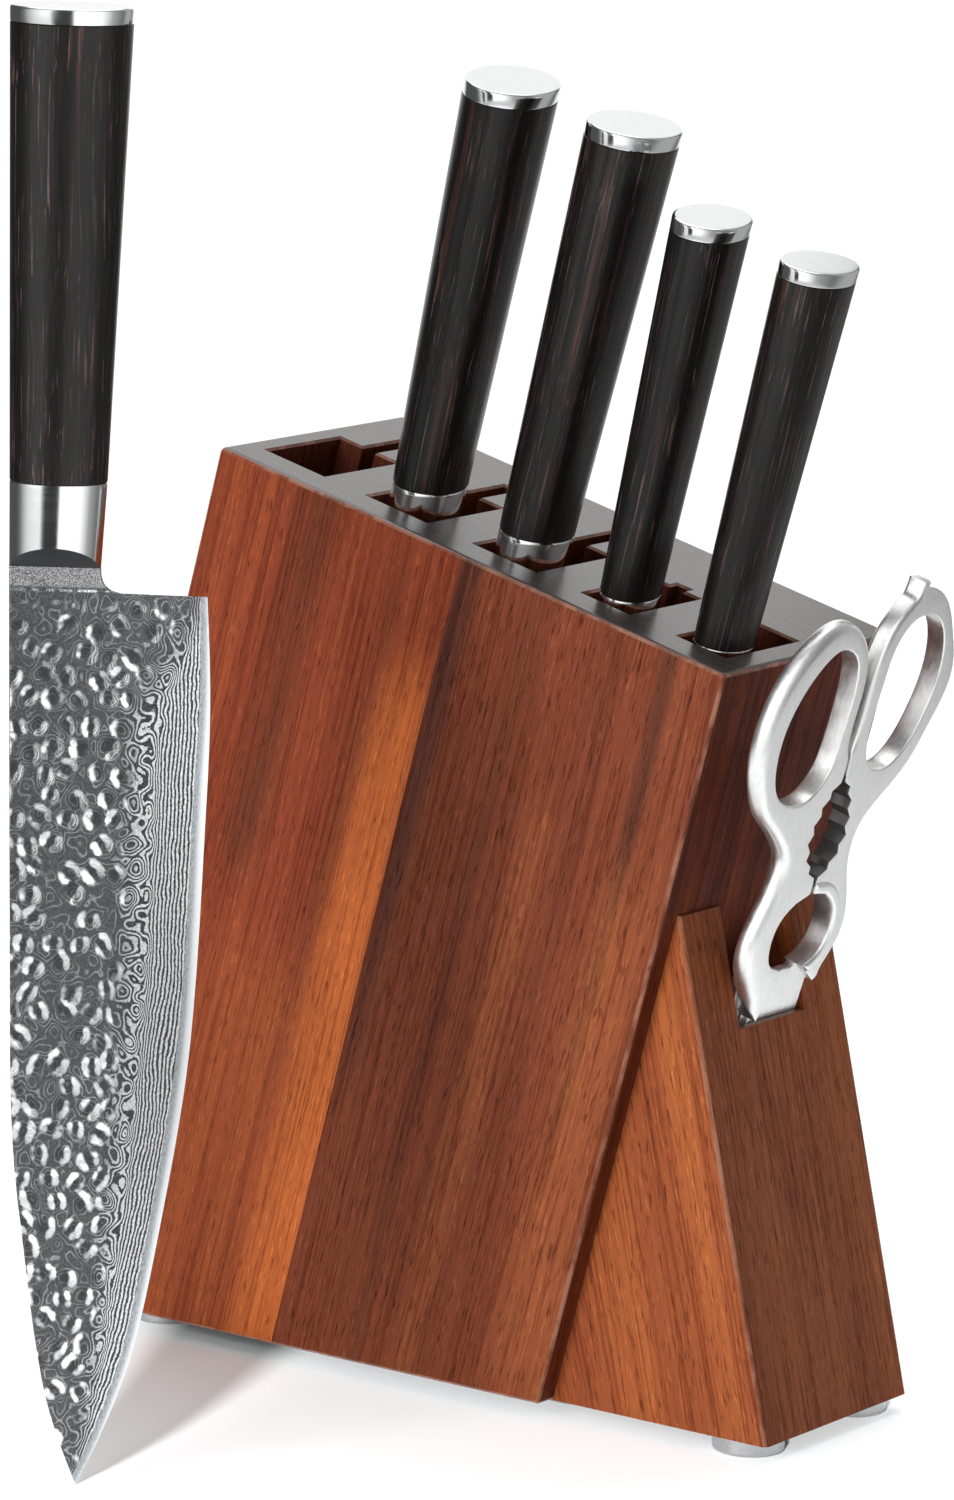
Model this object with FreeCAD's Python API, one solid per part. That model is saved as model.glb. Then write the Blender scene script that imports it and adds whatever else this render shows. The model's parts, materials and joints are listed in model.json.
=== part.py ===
import FreeCAD, Part

import math
import os

from FreeCAD import Vector

# Leaning wooden knife block with a glued-on stand wedge, four knives and kitchen shears in it,
# and the chef's knife out of its slot, upright on its tip in front of the block.
#
# World frame: millimetres, +Z up, Z = 0 is the surface the feet stand on, the origin is the
# centre of the four feet, +X runs towards the shears and +Y towards the side away from the
# chef's knife.
#
# Lean frame: most pieces are drawn in (s, y, h). s runs square to the lean from the block's back
# face to its front face, y runs from the near side to the far side, and h runs up the lean from
# the block's lower back corner. to_world() turns it by the lean and lifts it onto the feet.

# --- block -------------------------------------------------------------------------------------
LEAN = 14.0                     # degrees from upright, towards +X
UNDERSIDE = 162.0               # length of the block's level underside
TOP_H = 234.0                   # length of the back edge, along the lean
DEPTH = 77.0                    # near side to far side
NEAR_PANEL = 11.5               # thickness of the near side panel
FAR_PANEL = 17.0                # thickness of the far side panel
GLUE_LINE_S = 77.0              # joint between the two staves of each side panel
BASE_THICKNESS = 8.0            # base board that closes the slots
ROUND = 1.6                     # radius on the block's outer edges
FOOT_HEIGHT = 4.0
FOOT_RADIUS = 8.9
FOOT_X = (34.0, 214.0)          # foot centres, from the block's lower back corner
FOOT_Y = (15.5, 61.5)

# --- slots: a pocket for the ferrule, with a narrow blade slit in its floor and beyond it -------
SLIT_WIDTH = 4.0
SLOT_NEAR = NEAR_PANEL
SLIT_END = DEPTH - FAR_PANEL
POCKET_DEPTH = 17.0
MOUTH_CHAMFER = 0.6
# slit centre s, pocket start s, pocket end s, pocket far end y, slit far end y
SLOTS = (
    (15.4, 6.2, 24.8, 42.5, SLIT_END),
    (48.2, 38.7, 57.5, 43.5, SLIT_END),
    (81.8, 72.5, 91.6, 44.0, SLIT_END),
    (113.2, 106.2, 120.3, 42.0, 45.5),
    (142.3, 135.2, 149.4, 43.0, 43.0),
)

# --- stand wedge --------------------------------------------------------------------------------
WEDGE_LENGTH = 63.0             # along the floor, in front of the block
WEDGE_HEIGHT = 131.0            # up the block's front face
WEDGE_INSET = 6.5               # set in from both sides of the block
WEDGE_BLUNT = 0.8               # flat left on its top edge
NOTCH_Y = (23.8, 52.9)          # the shears' notch and channel
NOTCH_H = 143.2                 # level of the notch's lower edge
CHANNEL_DEPTH = 13.6
CHANNEL_FLOOR_H = 51.0

# --- knives -------------------------------------------------------------------------------------
# Knife frame: X towards the cutting edge, Y across the blade, Z up towards the butt, with the
# origin at the centre of the joint between ferrule and handle.
BLADE_THICKNESS = 2.2
SHOULDER_Y = 1.5                # half thickness left at the ferrule's lower end
SHOULDER_SLOPE = 0.81           # rise of the cut that thins the ferrule to the blade, per mm across
TANG_WIDTH = 8.0
TANG_RISE = 70.0


class Grip:
    """Oval handle, ferrule and end cap. Widths are given as (spine side x, edge side x)."""

    def __init__(self, joint, butt, low, joint_thick, butt_thick, ferrule, cap):
        self.joint = joint              # x limits at the ferrule joint
        self.butt = butt                # x limits at the butt
        self.low = low                  # x limits at the ferrule's lower end
        self.joint_thick = joint_thick
        self.butt_thick = butt_thick
        self.ferrule = ferrule          # length of the ferrule
        self.cap = cap                  # thickness of the end cap


LARGE = Grip((-11.35, 11.35), (-13.1, 15.3), (-11.1, 10.25), 16.5, 20.8, 19.9, 3.8)
SMALL = Grip((-9.35, 9.35), (-10.8, 13.2), (-9.2, 8.4), 13.2, 16.8, 16.0, 3.6)

CHEF_HANDLE = 106.0
LARGE_HANDLE = 101.4
SMALL_HANDLE = 93.4
CHEF_TIP_Z = -240.8
CHEF_SPOT = (-21.1, -159.9)     # world x, y of the chef's knife's axis
CHEF_TURN = 35.25               # degrees its blade is turned about the vertical

# --- shears -------------------------------------------------------------------------------------
# Shears frame: X towards the far side, Y into the block, Z up along the shears, with the origin
# on the pivot at the level of the handles' front faces.
SHEARS_SPOT = (172.75, 38.6, 137.6)
SHEARS_TILT = 1.28              # degrees further out than the block's lean
HANDLE_THICK = 5.4
RIM_ROUND = 2.4
PLATE = 2.4                     # thickness of each blade
FRONT_PLATE_Y = 2.4
BACK_PLATE_Y = 5.1
PIVOT_RADIUS = 2.4
PIVOT_HEAD = 4.2                # radius of the head behind the back blade
PIVOT_HEAD_THICK = 0.8
RUNNING_FIT = 0.05              # of the right half on the pivot
LIP_RISE = 1.0                  # how far the bottle opener's lip stands in front of the handle
LIP_ROUND = 0.8

SIN = math.sin(math.radians(LEAN))
COS = math.cos(math.radians(LEAN))
FRONT_S = UNDERSIDE * COS       # the block's front face


def save(name, shape):
    """Write one named piece."""
    shape.exportStep("parts/" + name + ".step")


def to_world(shape):
    """Turn a shape from the lean frame by the lean, and set it over the feet."""
    placed = shape.copy()
    placed.rotate(Vector(0, 0, 0), Vector(0, 1, 0), LEAN)
    placed.translate(Vector(-sum(FOOT_X) / 2, -sum(FOOT_Y) / 2, FOOT_HEIGHT))
    return placed


def lean_point(x, z):
    """A level (x, z) point, from the block's lower back corner, as (s, h)."""
    return (x * COS - z * SIN, x * SIN + z * COS)


def underside(s, rise=0.0):
    """The h of the level underside at s, or of a level plane that much above it."""
    return (s * SIN + rise) / COS


def prism(outline, y0, y1):
    """A solid from an (s, h) outline, between two y levels."""
    points = [Vector(s, y0, h) for s, h in outline]
    return Part.Face(Part.makePolygon(points + points[:1])).extrude(Vector(0, y1 - y0, 0))


def block_slice(s0, s1, y0, y1, rise=0.0):
    """A board of the block from s0 to s1, cut level at its lower end."""
    return prism([(s0, underside(s0, rise)), (s1, underside(s1, rise)), (s1, TOP_H), (s0, TOP_H)], y0, y1)


def box(s0, s1, y0, y1, h0, h1):
    """A box between levels of the lean frame."""
    return Part.makeBox(s1 - s0, y1 - y0, h1 - h0, Vector(s0, y0, h0))


def round_outer(shape, tests, radius=ROUND):
    """Round the edges that lie in two of the given outer planes at once."""
    edges = []
    for edge in shape.Edges:
        middle = edge.valueAt((edge.FirstParameter + edge.LastParameter) / 2)
        if sum(1 for test in tests if test(middle)) >= 2:
            edges.append(edge)
    return shape.makeFillet(radius, edges) if edges else shape


def near(a, b):
    """Whether two lengths are the same, but for rounding."""
    return abs(a - b) < 1e-4


BLOCK_PLANES = (
    lambda p: near(p.x, 0.0),
    lambda p: near(p.x, FRONT_S),
    lambda p: near(p.y, 0.0),
    lambda p: near(p.y, DEPTH),
    lambda p: near(p.z, TOP_H),
    lambda p: near(p.z, underside(p.x)),
)


def mouth(s0, s1, y0, y1):
    """A cutter that flares at the top face, and so chamfers the mouth of an opening."""
    grow = 2 * MOUTH_CHAMFER
    flare = Part.makeWedge(s0, TOP_H - MOUTH_CHAMFER, -y1, -y1 - grow, s0 - grow,
                           s1, TOP_H + MOUTH_CHAMFER, -y0, -y0 + grow, s1 + grow)
    flare.rotate(Vector(0, 0, 0), Vector(1, 0, 0), 90)
    return flare


def pocket_cutter(slot):
    """The ferrule pocket of one slot, with its chamfered mouth."""
    centre, s0, s1, y_end, slit_end = slot
    half = SLIT_WIDTH / 2
    pocket = box(s0, s1, SLOT_NEAR, y_end, TOP_H - POCKET_DEPTH, TOP_H + 1)
    mouths = [mouth(s0, s1, SLOT_NEAR, y_end), mouth(centre - half, centre + half, SLOT_NEAR, slit_end)]
    return pocket.fuse(mouths)


def make_block():
    """Two-stave side panels, core boards between the slots, and the board that closes them below."""
    cutters = [pocket_cutter(slot) for slot in SLOTS]
    half = SLIT_WIDTH / 2

    for side, y0, y1 in (("near", 0.0, NEAR_PANEL), ("far", SLIT_END, DEPTH)):
        for stave, s0, s1 in (("back", 0.0, GLUE_LINE_S), ("front", GLUE_LINE_S, FRONT_S)):
            board = round_outer(block_slice(s0, s1, y0, y1), BLOCK_PLANES).cut(cutters)
            save("side_" + side + "_" + stave + "_stave", to_world(board))

    starts = [0.0] + [slot[0] + half for slot in SLOTS]
    ends = [slot[0] - half for slot in SLOTS] + [FRONT_S]
    for number, (s0, s1) in enumerate(zip(starts, ends), 1):
        board = round_outer(block_slice(s0, s1, NEAR_PANEL, SLIT_END, BASE_THICKNESS), BLOCK_PLANES)
        if number > 1:
            # A short slit ends in a tongue left on the board in front of it.
            slit_end = SLOTS[number - 2][4]
            if slit_end < SLIT_END:
                board = board.fuse(block_slice(s0 - SLIT_WIDTH, s0, slit_end, SLIT_END, BASE_THICKNESS))
        save("core_board_" + str(number), to_world(board.cut(cutters).removeSplitter()))

    base = prism(
        [(0, 0), (FRONT_S, underside(FRONT_S)), (FRONT_S, underside(FRONT_S, BASE_THICKNESS)),
         (0, underside(0, BASE_THICKNESS))],
        NEAR_PANEL, SLIT_END)
    save("base_board", to_world(base))


def make_wedge():
    """The stand wedge, with the notch and channel that hold the shears."""
    toe = lean_point(UNDERSIDE + WEDGE_LENGTH, 0)
    peak = underside(FRONT_S) + WEDGE_HEIGHT
    outline = [(FRONT_S, underside(FRONT_S)), toe, (FRONT_S + WEDGE_BLUNT, peak), (FRONT_S, peak)]
    wedge = prism(outline, WEDGE_INSET, DEPTH - WEDGE_INSET)

    slope = (peak - toe[1]) / (FRONT_S + WEDGE_BLUNT - toe[0])
    planes = (
        lambda p: near(p.y, WEDGE_INSET),
        lambda p: near(p.y, DEPTH - WEDGE_INSET),
        lambda p: near(p.z, toe[1] + slope * (p.x - toe[0])),
    )
    wedge = round_outer(wedge, planes)
    channel = box(FRONT_S - 1, FRONT_S + CHANNEL_DEPTH, NOTCH_Y[0], NOTCH_Y[1], CHANNEL_FLOOR_H, TOP_H)
    notch = box(FRONT_S - 1, FRONT_S + WEDGE_LENGTH, NOTCH_Y[0], NOTCH_Y[1], NOTCH_H, TOP_H)
    save("wedge_stand", to_world(wedge.cut([channel, notch])))


def make_feet():
    """Four round feet, one node."""
    feet = []
    for x in FOOT_X:
        for y in FOOT_Y:
            centre = Vector(x - sum(FOOT_X) / 2, y - sum(FOOT_Y) / 2, 0)
            foot = Part.makeCylinder(FOOT_RADIUS, FOOT_HEIGHT, centre)
            rims = [e for e in foot.Edges if near(e.BoundBox.ZMax, e.BoundBox.ZMin)]
            low = [e for e in rims if near(e.BoundBox.ZMin, 0)]
            feet.append(foot.makeFillet(0.8, low))
    save("feet", Part.makeCompound(feet))


def smooth(points):
    """An edge through (x, z) points: a line through two, a smooth curve through more."""
    places = [Vector(x, 0, z) for x, z in points]
    if len(places) == 2:
        return Part.LineSegment(places[0], places[1]).toShape()
    curve = Part.BSplineCurve()
    curve.interpolate(places)
    return curve.toShape()


def plate(runs, y0, y1, holes=()):
    """A flat piece between two y levels from runs of (x, z) points that join end to end."""
    outline = Part.Wire([smooth(run) for run in runs])
    wires = [outline]
    for hole in holes:
        curve = Part.BSplineCurve()
        curve.interpolate([Vector(x, 0, z) for x, z in hole], True)
        wires.append(Part.Wire([curve.toShape()]))
    faces = [Part.Face(wire) for wire in wires]
    face = faces[0].cut(faces[1:]) if holes else faces[0]
    solid = face.extrude(Vector(0, y1 - y0, 0)).Solids[0]
    solid.translate(Vector(0, y0, 0))
    return solid


def oval(limits, thickness, z):
    """A level ellipse between two x limits."""
    middle = (limits[0] + limits[1]) / 2
    ellipse = Part.Ellipse(Vector(middle, 0, z), (limits[1] - limits[0]) / 2, thickness / 2)
    return Part.Wire([ellipse.toShape()])


def taper(edge_x, length):
    """The blade's cross-section, full at the spine and thin at the cutting edge."""
    half = BLADE_THICKNESS / 2
    section = [(-30, half), (0, half), (edge_x, 0.12), (edge_x, -0.12), (0, -half), (-30, -half)]
    points = [Vector(x, y, -length) for x, y in section]
    return Part.Face(Part.makePolygon(points + points[:1])).extrude(Vector(0, 0, length))


def make_knife(name, grip, handle, runs, edge_x, place):
    """Blade with its tang, ferrule, handle and end cap, each a piece of its own."""
    half = BLADE_THICKNESS / 2
    tang = Part.makeBox(TANG_WIDTH, BLADE_THICKNESS, TANG_RISE + grip.ferrule,
                        Vector(-TANG_WIDTH / 2, -half, -grip.ferrule))
    blade = plate(runs, -half, half).common(taper(edge_x + 0.3, 300)).fuse(tang).removeSplitter()

    ferrule = Part.makeLoft([oval(grip.low, grip.joint_thick - 0.7, -grip.ferrule),
                             oval(grip.joint, grip.joint_thick, 0)], True, True)
    low, far = -grip.ferrule, grip.joint_thick
    cut = [(SHOULDER_Y, low), (far, low + SHOULDER_SLOPE * (far - SHOULDER_Y)), (far, low - 1),
           (SHOULDER_Y, low - 1)]
    for side in (-1, 1):
        points = [Vector(-30, side * y, z) for y, z in cut]
        shoulder = Part.Face(Part.makePolygon(points + points[:1])).extrude(Vector(60, 0, 0))
        ferrule = ferrule.cut(shoulder)

    def between(z):
        part = z / handle
        x0 = grip.joint[0] + (grip.butt[0] - grip.joint[0]) * part
        x1 = grip.joint[1] + (grip.butt[1] - grip.joint[1]) * part
        return oval((x0, x1), grip.joint_thick + (grip.butt_thick - grip.joint_thick) * part, z)

    wood = Part.makeLoft([between(0), between(handle)], True, True)
    end = handle + grip.cap
    cap = Part.makeLoft([between(handle), between(end)], True, True)
    cap = cap.makeFillet(0.7, [e for e in cap.Edges if near(e.BoundBox.ZMin, end)])

    save(name + "_blade", place(blade))
    save(name + "_ferrule", place(ferrule.cut(tang)))
    save(name + "_handle", place(wood.cut(tang)))
    save(name + "_end_cap", place(cap))


def in_slot(slot, y, rise, tilt):
    """Where a knife sits: in a slot, at y, with its ferrule joint that far above the top face."""
    def place(shape):
        placed = shape.copy()
        placed.rotate(Vector(0, 0, 0), Vector(0, 0, 1), 90)
        placed.rotate(Vector(0, 0, 0), Vector(1, 0, 0), tilt)
        placed.translate(Vector(SLOTS[slot][0], y, TOP_H + rise))
        return to_world(placed)
    return place


def upright(shape):
    """The chef's knife, standing on its tip in front of the block."""
    placed = shape.copy()
    placed.rotate(Vector(0, 0, 0), Vector(0, 0, 1), CHEF_TURN)
    placed.translate(Vector(CHEF_SPOT[0], CHEF_SPOT[1], -CHEF_TIP_Z))
    return placed


def scalloped(x, z0, z1, count, depth):
    """A serrated edge: a row of shallow arcs."""
    pitch = (z1 - z0) / count
    runs = []
    for i in range(count):
        a = z0 + pitch * i
        runs.append([(x, a), (x - depth, a + pitch / 2), (x, a + pitch)])
    return runs


def make_knives():
    """Blade outlines, run by run from the neck down the spine to the tip and back up the edge."""
    neck = -LARGE.ferrule
    low = LARGE.low
    chef = [
        [(low[0], neck), (-11.0, -23.6)],
        [(-11.0, -23.6), (-10.5, -52.0), (-9.8, -88.0), (-9.1, -123.0), (-8.5, -146.5), (-7.1, -166.0),
         (-4.9, -183.0), (-1.4, -207.5), (2.4, -224.5), (8.5, CHEF_TIP_Z)],
        [(8.5, CHEF_TIP_Z), (11.9, -233.7), (16.2, -223.3), (20.4, -211.0), (23.9, -196.0),
         (27.4, -176.0), (30.5, -156.5), (32.9, -137.5), (34.2, -120.0), (35.7, -80.0), (36.2, -50.5),
         (35.0, -26.2)],
        [(35.0, -26.2), (15.0, -26.0)],
        [(15.0, -26.0), (12.3, -25.1), (10.7, -23.2), (low[1], neck)],
        [(low[1], neck), (low[0], neck)],
    ]
    make_knife("chef", LARGE, CHEF_HANDLE, chef, 36.2, upright)

    bread = [
        [(low[0], neck), (-11.0, -27.0)],
        [(-11.0, -27.0), (-10.8, -90.0), (-10.0, -160.0), (-4.5, -196.0), (10.0, -212.0)],
        [(10.0, -212.0), (16.0, -207.0), (18.6, -198.0)],
        *scalloped(18.6, -198.0, -34.0, 26, 1.2),
        [(18.6, -34.0), (18.6, -27.0)],
        [(18.6, -27.0), (15.0, -27.0)],
        [(15.0, -27.0), (12.0, -26.0), (10.6, -23.6), (low[1], neck)],
        [(low[1], neck), (low[0], neck)],
    ]
    make_knife("bread", LARGE, LARGE_HANDLE, bread, 18.6, in_slot(1, 23.3, 5.9, 3.85))

    santoku = [
        [(low[0], neck), (-11.0, -27.0)],
        [(-11.0, -27.0), (-10.4, -80.0), (-8.6, -140.0), (-2.0, -172.0), (13.0, -192.0), (27.0, -199.0)],
        [(27.0, -199.0), (31.0, -186.0), (33.4, -160.0), (34.4, -110.0), (34.5, -70.0), (34.0, -27.0)],
        [(34.0, -27.0), (15.0, -27.0)],
        [(15.0, -27.0), (12.0, -26.0), (10.6, -23.6), (low[1], neck)],
        [(low[1], neck), (low[0], neck)],
    ]
    make_knife("santoku", LARGE, LARGE_HANDLE, santoku, 34.5, in_slot(2, 23.3, 5.6, 1.0))

    neck = -SMALL.ferrule
    low = SMALL.low
    utility = [
        [(low[0], neck), (-9.1, -22.0)],
        [(-9.1, -22.0), (-8.8, -60.0), (-7.8, -100.0), (-4.5, -126.0), (2.0, -146.0)],
        [(2.0, -146.0), (8.4, -132.0), (12.8, -110.0), (15.2, -80.0), (16.0, -50.0), (15.8, -22.5)],
        [(15.8, -22.5), (12.0, -22.3)],
        [(12.0, -22.3), (9.8, -21.4), (8.8, -19.4), (low[1], neck)],
        [(low[1], neck), (low[0], neck)],
    ]
    make_knife("utility", SMALL, SMALL_HANDLE, utility, 16.0, in_slot(3, 21.4, 1.9, 3.8))

    paring = [
        [(low[0], neck), (-9.1, -22.0)],
        [(-9.1, -22.0), (-8.8, -50.0), (-7.4, -84.0), (-0.5, -109.0)],
        [(-0.5, -109.0), (6.2, -96.0), (10.0, -76.0), (11.8, -50.0), (11.8, -22.5)],
        [(11.8, -22.5), (9.8, -21.6), (8.8, -19.4), (low[1], neck)],
        [(low[1], neck), (low[0], neck)],
    ]
    make_knife("paring", SMALL, SMALL_HANDLE, paring, 11.8, in_slot(4, 21.2, 0.1, 1.0))


def teeth(points, depth, count):
    """A zigzag along a curve through the points, with its tips turned to the middle line."""
    curve = Part.BSplineCurve()
    curve.interpolate([Vector(x, 0, z) for x, z in points])
    first, last = curve.FirstParameter, curve.LastParameter
    line = []
    for i in range(2 * count + 1):
        p = curve.value(first + (last - first) * i / (2 * count))
        inward = depth if i % 2 else 0.0
        line.append((p.x - math.copysign(inward, p.x), p.z))
    return [[line[i], line[i + 1]] for i in range(2 * count)]


def place_shears(shape):
    """Where the shears sit, with their blades down the wedge's channel."""
    placed = shape.copy()
    placed.rotate(Vector(0, 0, 0), Vector(0, 0, 1), 90)
    placed.rotate(Vector(0, 0, 0), Vector(0, 1, 0), SHEARS_TILT)
    placed.translate(Vector(*SHEARS_SPOT))
    return to_world(placed)


def round_rim(body):
    """Round the long outer edges of a shears handle, front and back."""
    outer = [e for e in body.Edges if e.Length > 120 and near(e.BoundBox.YMin, e.BoundBox.YMax)]
    return body.makeFillet(RIM_ROUND, outer)


def raised_lip(outline):
    """A lip standing in front of a handle, its long front edges rounded."""
    lip = plate(outline, -LIP_RISE, HANDLE_THICK / 2)
    long_front = [e for e in lip.Edges if e.Length > 15 and near(e.BoundBox.YMax, -LIP_RISE)]
    return lip.makeFillet(LIP_ROUND, long_front)


def make_shears():
    """Two halves, each a handle fused with its blade, and the pivot pin that joins them."""
    left_rim = [
        (-0.4, 77.5), (-1.0, 81.5), (-1.2, 95.5), (-2.6, 101.8), (-6.2, 107.6), (-11.8, 111.8),
        (-18.5, 113.6), (-27.6, 110.4), (-35.2, 103.6), (-39.6, 95.6), (-41.2, 86.4), (-40.4, 79.0),
        (-37.2, 71.4), (-32.4, 64.6), (-26.1, 59.6), (-20.2, 54.6), (-17.0, 50.4), (-16.6, 44.0),
        (-19.2, 36.0), (-21.4, 28.5), (-20.5, 21.8), (-16.6, 15.6), (-11.9, 9.2)]
    left_body = [
        left_rim,
        [left_rim[-1], (-9.7, 7.0)],
        [(-9.7, 7.0), (-4.0, 17.0)],
        [(-4.0, 17.0), (-5.6, 20.2)],
        [(-5.6, 20.2), (-9.9, 22.0), (-12.4, 27.6), (-10.8, 34.2), (-5.8, 38.2)],
        [(-5.8, 38.2), (-0.6, 39.8)],
        [(-0.6, 39.8), (-0.6, 42.6)],
        *teeth([(-0.6, 42.6), (-5.6, 47.6), (-8.4, 54.0), (-7.6, 60.6), (-5.0, 66.6), (-0.6, 71.2)], 1.5, 7),
        [(-0.6, 71.2), left_rim[0]],
    ]
    left_ring = [(-6.7, 95.5), (-9.0, 102.4), (-13.1, 105.7), (-18.2, 106.7), (-25.0, 103.0),
                 (-30.7, 95.9), (-33.8, 87.0), (-33.7, 80.3), (-31.9, 74.2), (-28.4, 69.6),
                 (-22.6, 66.7), (-16.6, 66.3), (-11.4, 68.8), (-7.6, 74.2), (-6.7, 80.3)]
    right_rim = [
        (15.8, 118.0), (19.0, 117.6), (24.6, 116.0), (30.4, 110.8), (34.4, 104.6), (38.0, 98.0),
        (39.2, 92.4), (38.2, 86.5), (34.8, 79.0), (31.2, 71.8), (25.3, 65.2), (19.0, 60.0), (15.3, 55.6),
        (14.3, 50.8), (15.3, 45.0), (18.0, 39.0), (20.4, 32.8), (20.9, 26.4), (18.3, 20.2), (14.3, 14.9)]
    right_body = [
        [(0.4, 77.5), (1.2, 81.5), (1.5, 95.5), (2.2, 103.0), (5.0, 110.0), (10.4, 115.2)],
        [(10.4, 115.2), (10.6, 121.6)],
        [(10.6, 121.6), (15.4, 121.6)],
        [(15.4, 121.6), (15.8, 118.0)],
        right_rim,
        [right_rim[-1], (12.2, 14.2)],
        [(12.2, 14.2), (4.7, 19.6)],
        [(4.7, 19.6), (10.0, 22.4), (12.5, 28.2), (10.4, 35.0), (5.6, 39.0)],
        [(5.6, 39.0), (0.6, 39.8)],
        [(0.6, 39.8), (0.6, 42.6)],
        *teeth([(0.6, 42.6), (5.6, 47.6), (8.4, 54.0), (7.6, 60.6), (5.0, 66.6), (0.6, 71.2)], 1.5, 7),
        [(0.6, 71.2), (0.4, 77.5)],
    ]
    right_ring = [(6.2, 95.5), (6.9, 102.6), (9.6, 108.0), (13.2, 110.6), (18.2, 111.2),
                  (23.7, 109.6), (28.6, 104.6), (31.2, 97.5), (31.4, 90.4), (29.6, 83.3), (25.6, 75.6),
                  (19.4, 71.0), (13.2, 71.1), (8.3, 74.4), (6.1, 80.3)]

    opener_lip = [
        [(4.7, 19.6), (10.0, 22.4), (12.5, 28.2), (10.4, 35.0), (5.6, 39.0)],
        [(5.6, 39.0), (0.6, 39.8)],
        [(0.6, 39.8), (0.6, 42.4)],
        [(0.6, 42.4), (7.4, 41.6), (13.2, 36.8), (15.5, 28.2), (12.6, 20.8), (7.2, 17.8)],
        [(7.2, 17.8), (4.7, 19.6)],
    ]

    front_blade = [
        [(-3.2, 17.2), (-0.8, 18.0), (4.4, 18.0)],
        [(4.4, 18.0), (7.5, 20.5)],
        [(7.5, 20.5), (13.0, 18.8)],
        [(13.0, 18.8), (12.4, 9.5)],
        [(12.4, 9.5), (12.2, 4.0), (10.0, -6.0), (5.2, -15.0)],
        [(5.2, -15.0), (3.4, -60.0), (-1.2, -82.0)],
        [(-1.2, -82.0), (-5.4, -72.0), (-8.4, -40.0), (-10.4, -8.0), (-9.3, 6.4)],
        [(-9.3, 6.4), (-3.2, 17.2)],
    ]
    back_blade = [
        [(-13.8, 16.8), (-8.5, 17.4)],
        [(-8.5, 17.4), (-5.0, 12.0), (2.0, 10.8), (8.6, 9.6), (10.4, 2.0), (10.4, -8.0), (8.4, -40.0),
         (5.4, -72.0), (1.2, -82.0)],
        [(1.2, -82.0), (-3.4, -60.0), (-5.2, -15.0)],
        [(-5.2, -15.0), (-10.4, -6.0), (-13.0, 4.0), (-13.2, 10.0)],
        [(-13.2, 10.0), (-13.8, 16.8)],
    ]

    left = round_rim(plate(left_body, 0, HANDLE_THICK, [left_ring]))
    left = left.fuse(plate(back_blade, BACK_PLATE_Y, BACK_PLATE_Y + PLATE))
    right = round_rim(plate(right_body, 0, HANDLE_THICK, [right_ring]))
    right = right.fuse([plate(front_blade, FRONT_PLATE_Y, FRONT_PLATE_Y + PLATE), raised_lip(opener_lip)])

    along = Vector(0, 1, 0)
    back = BACK_PLATE_Y + PLATE
    pin_hole = Part.makeCylinder(PIVOT_RADIUS, 20, Vector(0, -5, 0), along)
    running_hole = Part.makeCylinder(PIVOT_RADIUS + RUNNING_FIT, 20, Vector(0, -5, 0), along)
    pin = Part.makeCylinder(PIVOT_RADIUS, back - FRONT_PLATE_Y, Vector(0, FRONT_PLATE_Y, 0), along)
    head = Part.makeCylinder(PIVOT_HEAD, PIVOT_HEAD_THICK, Vector(0, back, 0), along)

    save("shears_left_half", place_shears(left.cut(pin_hole)))
    save("shears_right_half", place_shears(right.cut(running_hole)))
    save("shears_pivot", place_shears(pin.fuse(head)))


os.makedirs("parts", exist_ok=True)
make_block()
make_wedge()
make_feet()
make_knives()
make_shears()
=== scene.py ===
import json
import random
from collections import namedtuple
from math import copysign, cos, pi, radians, sin

import bmesh
import bpy
import numpy as np
from mathutils import Matrix, Vector, noise
from mathutils.geometry import delaunay_2d_cdt
from mathutils.kdtree import KDTree

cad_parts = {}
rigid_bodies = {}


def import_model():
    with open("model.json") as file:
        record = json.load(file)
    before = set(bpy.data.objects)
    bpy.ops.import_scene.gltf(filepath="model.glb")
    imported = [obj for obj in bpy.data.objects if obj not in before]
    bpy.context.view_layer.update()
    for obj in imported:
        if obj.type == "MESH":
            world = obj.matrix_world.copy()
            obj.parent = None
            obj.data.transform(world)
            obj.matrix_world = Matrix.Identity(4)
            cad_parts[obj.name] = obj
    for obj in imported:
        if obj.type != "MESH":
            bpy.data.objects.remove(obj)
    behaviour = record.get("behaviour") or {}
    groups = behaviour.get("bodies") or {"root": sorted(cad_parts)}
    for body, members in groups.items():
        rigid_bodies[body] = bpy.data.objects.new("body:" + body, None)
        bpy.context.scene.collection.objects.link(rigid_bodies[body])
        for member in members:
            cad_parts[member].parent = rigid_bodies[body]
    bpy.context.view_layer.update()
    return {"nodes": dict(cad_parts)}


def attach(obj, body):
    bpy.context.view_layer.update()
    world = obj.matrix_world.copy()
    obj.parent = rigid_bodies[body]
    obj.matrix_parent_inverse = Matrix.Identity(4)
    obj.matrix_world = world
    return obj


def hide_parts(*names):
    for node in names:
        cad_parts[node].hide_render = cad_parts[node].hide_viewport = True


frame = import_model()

MM = 0.001

# --- frames, in millimetres, as in the CAD model ---
LEAN = 14.0
TOP_H = 234.0
BLOCK_CORNER = Vector((-124.0, -38.5, 4.0))
SLOT_CENTRES = (15.4, 48.2, 81.8, 113.2, 142.3)
WEDGE_SLOPE = -13.85            # the stand wedge's front slope, from upright


def turn(degrees, axis):
    return Matrix.Rotation(radians(degrees), 4, axis)


TO_METRES = Matrix.Scale(MM, 4)
LEAN_FRAME = Matrix.Translation(BLOCK_CORNER) @ turn(LEAN, "Y")


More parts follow.
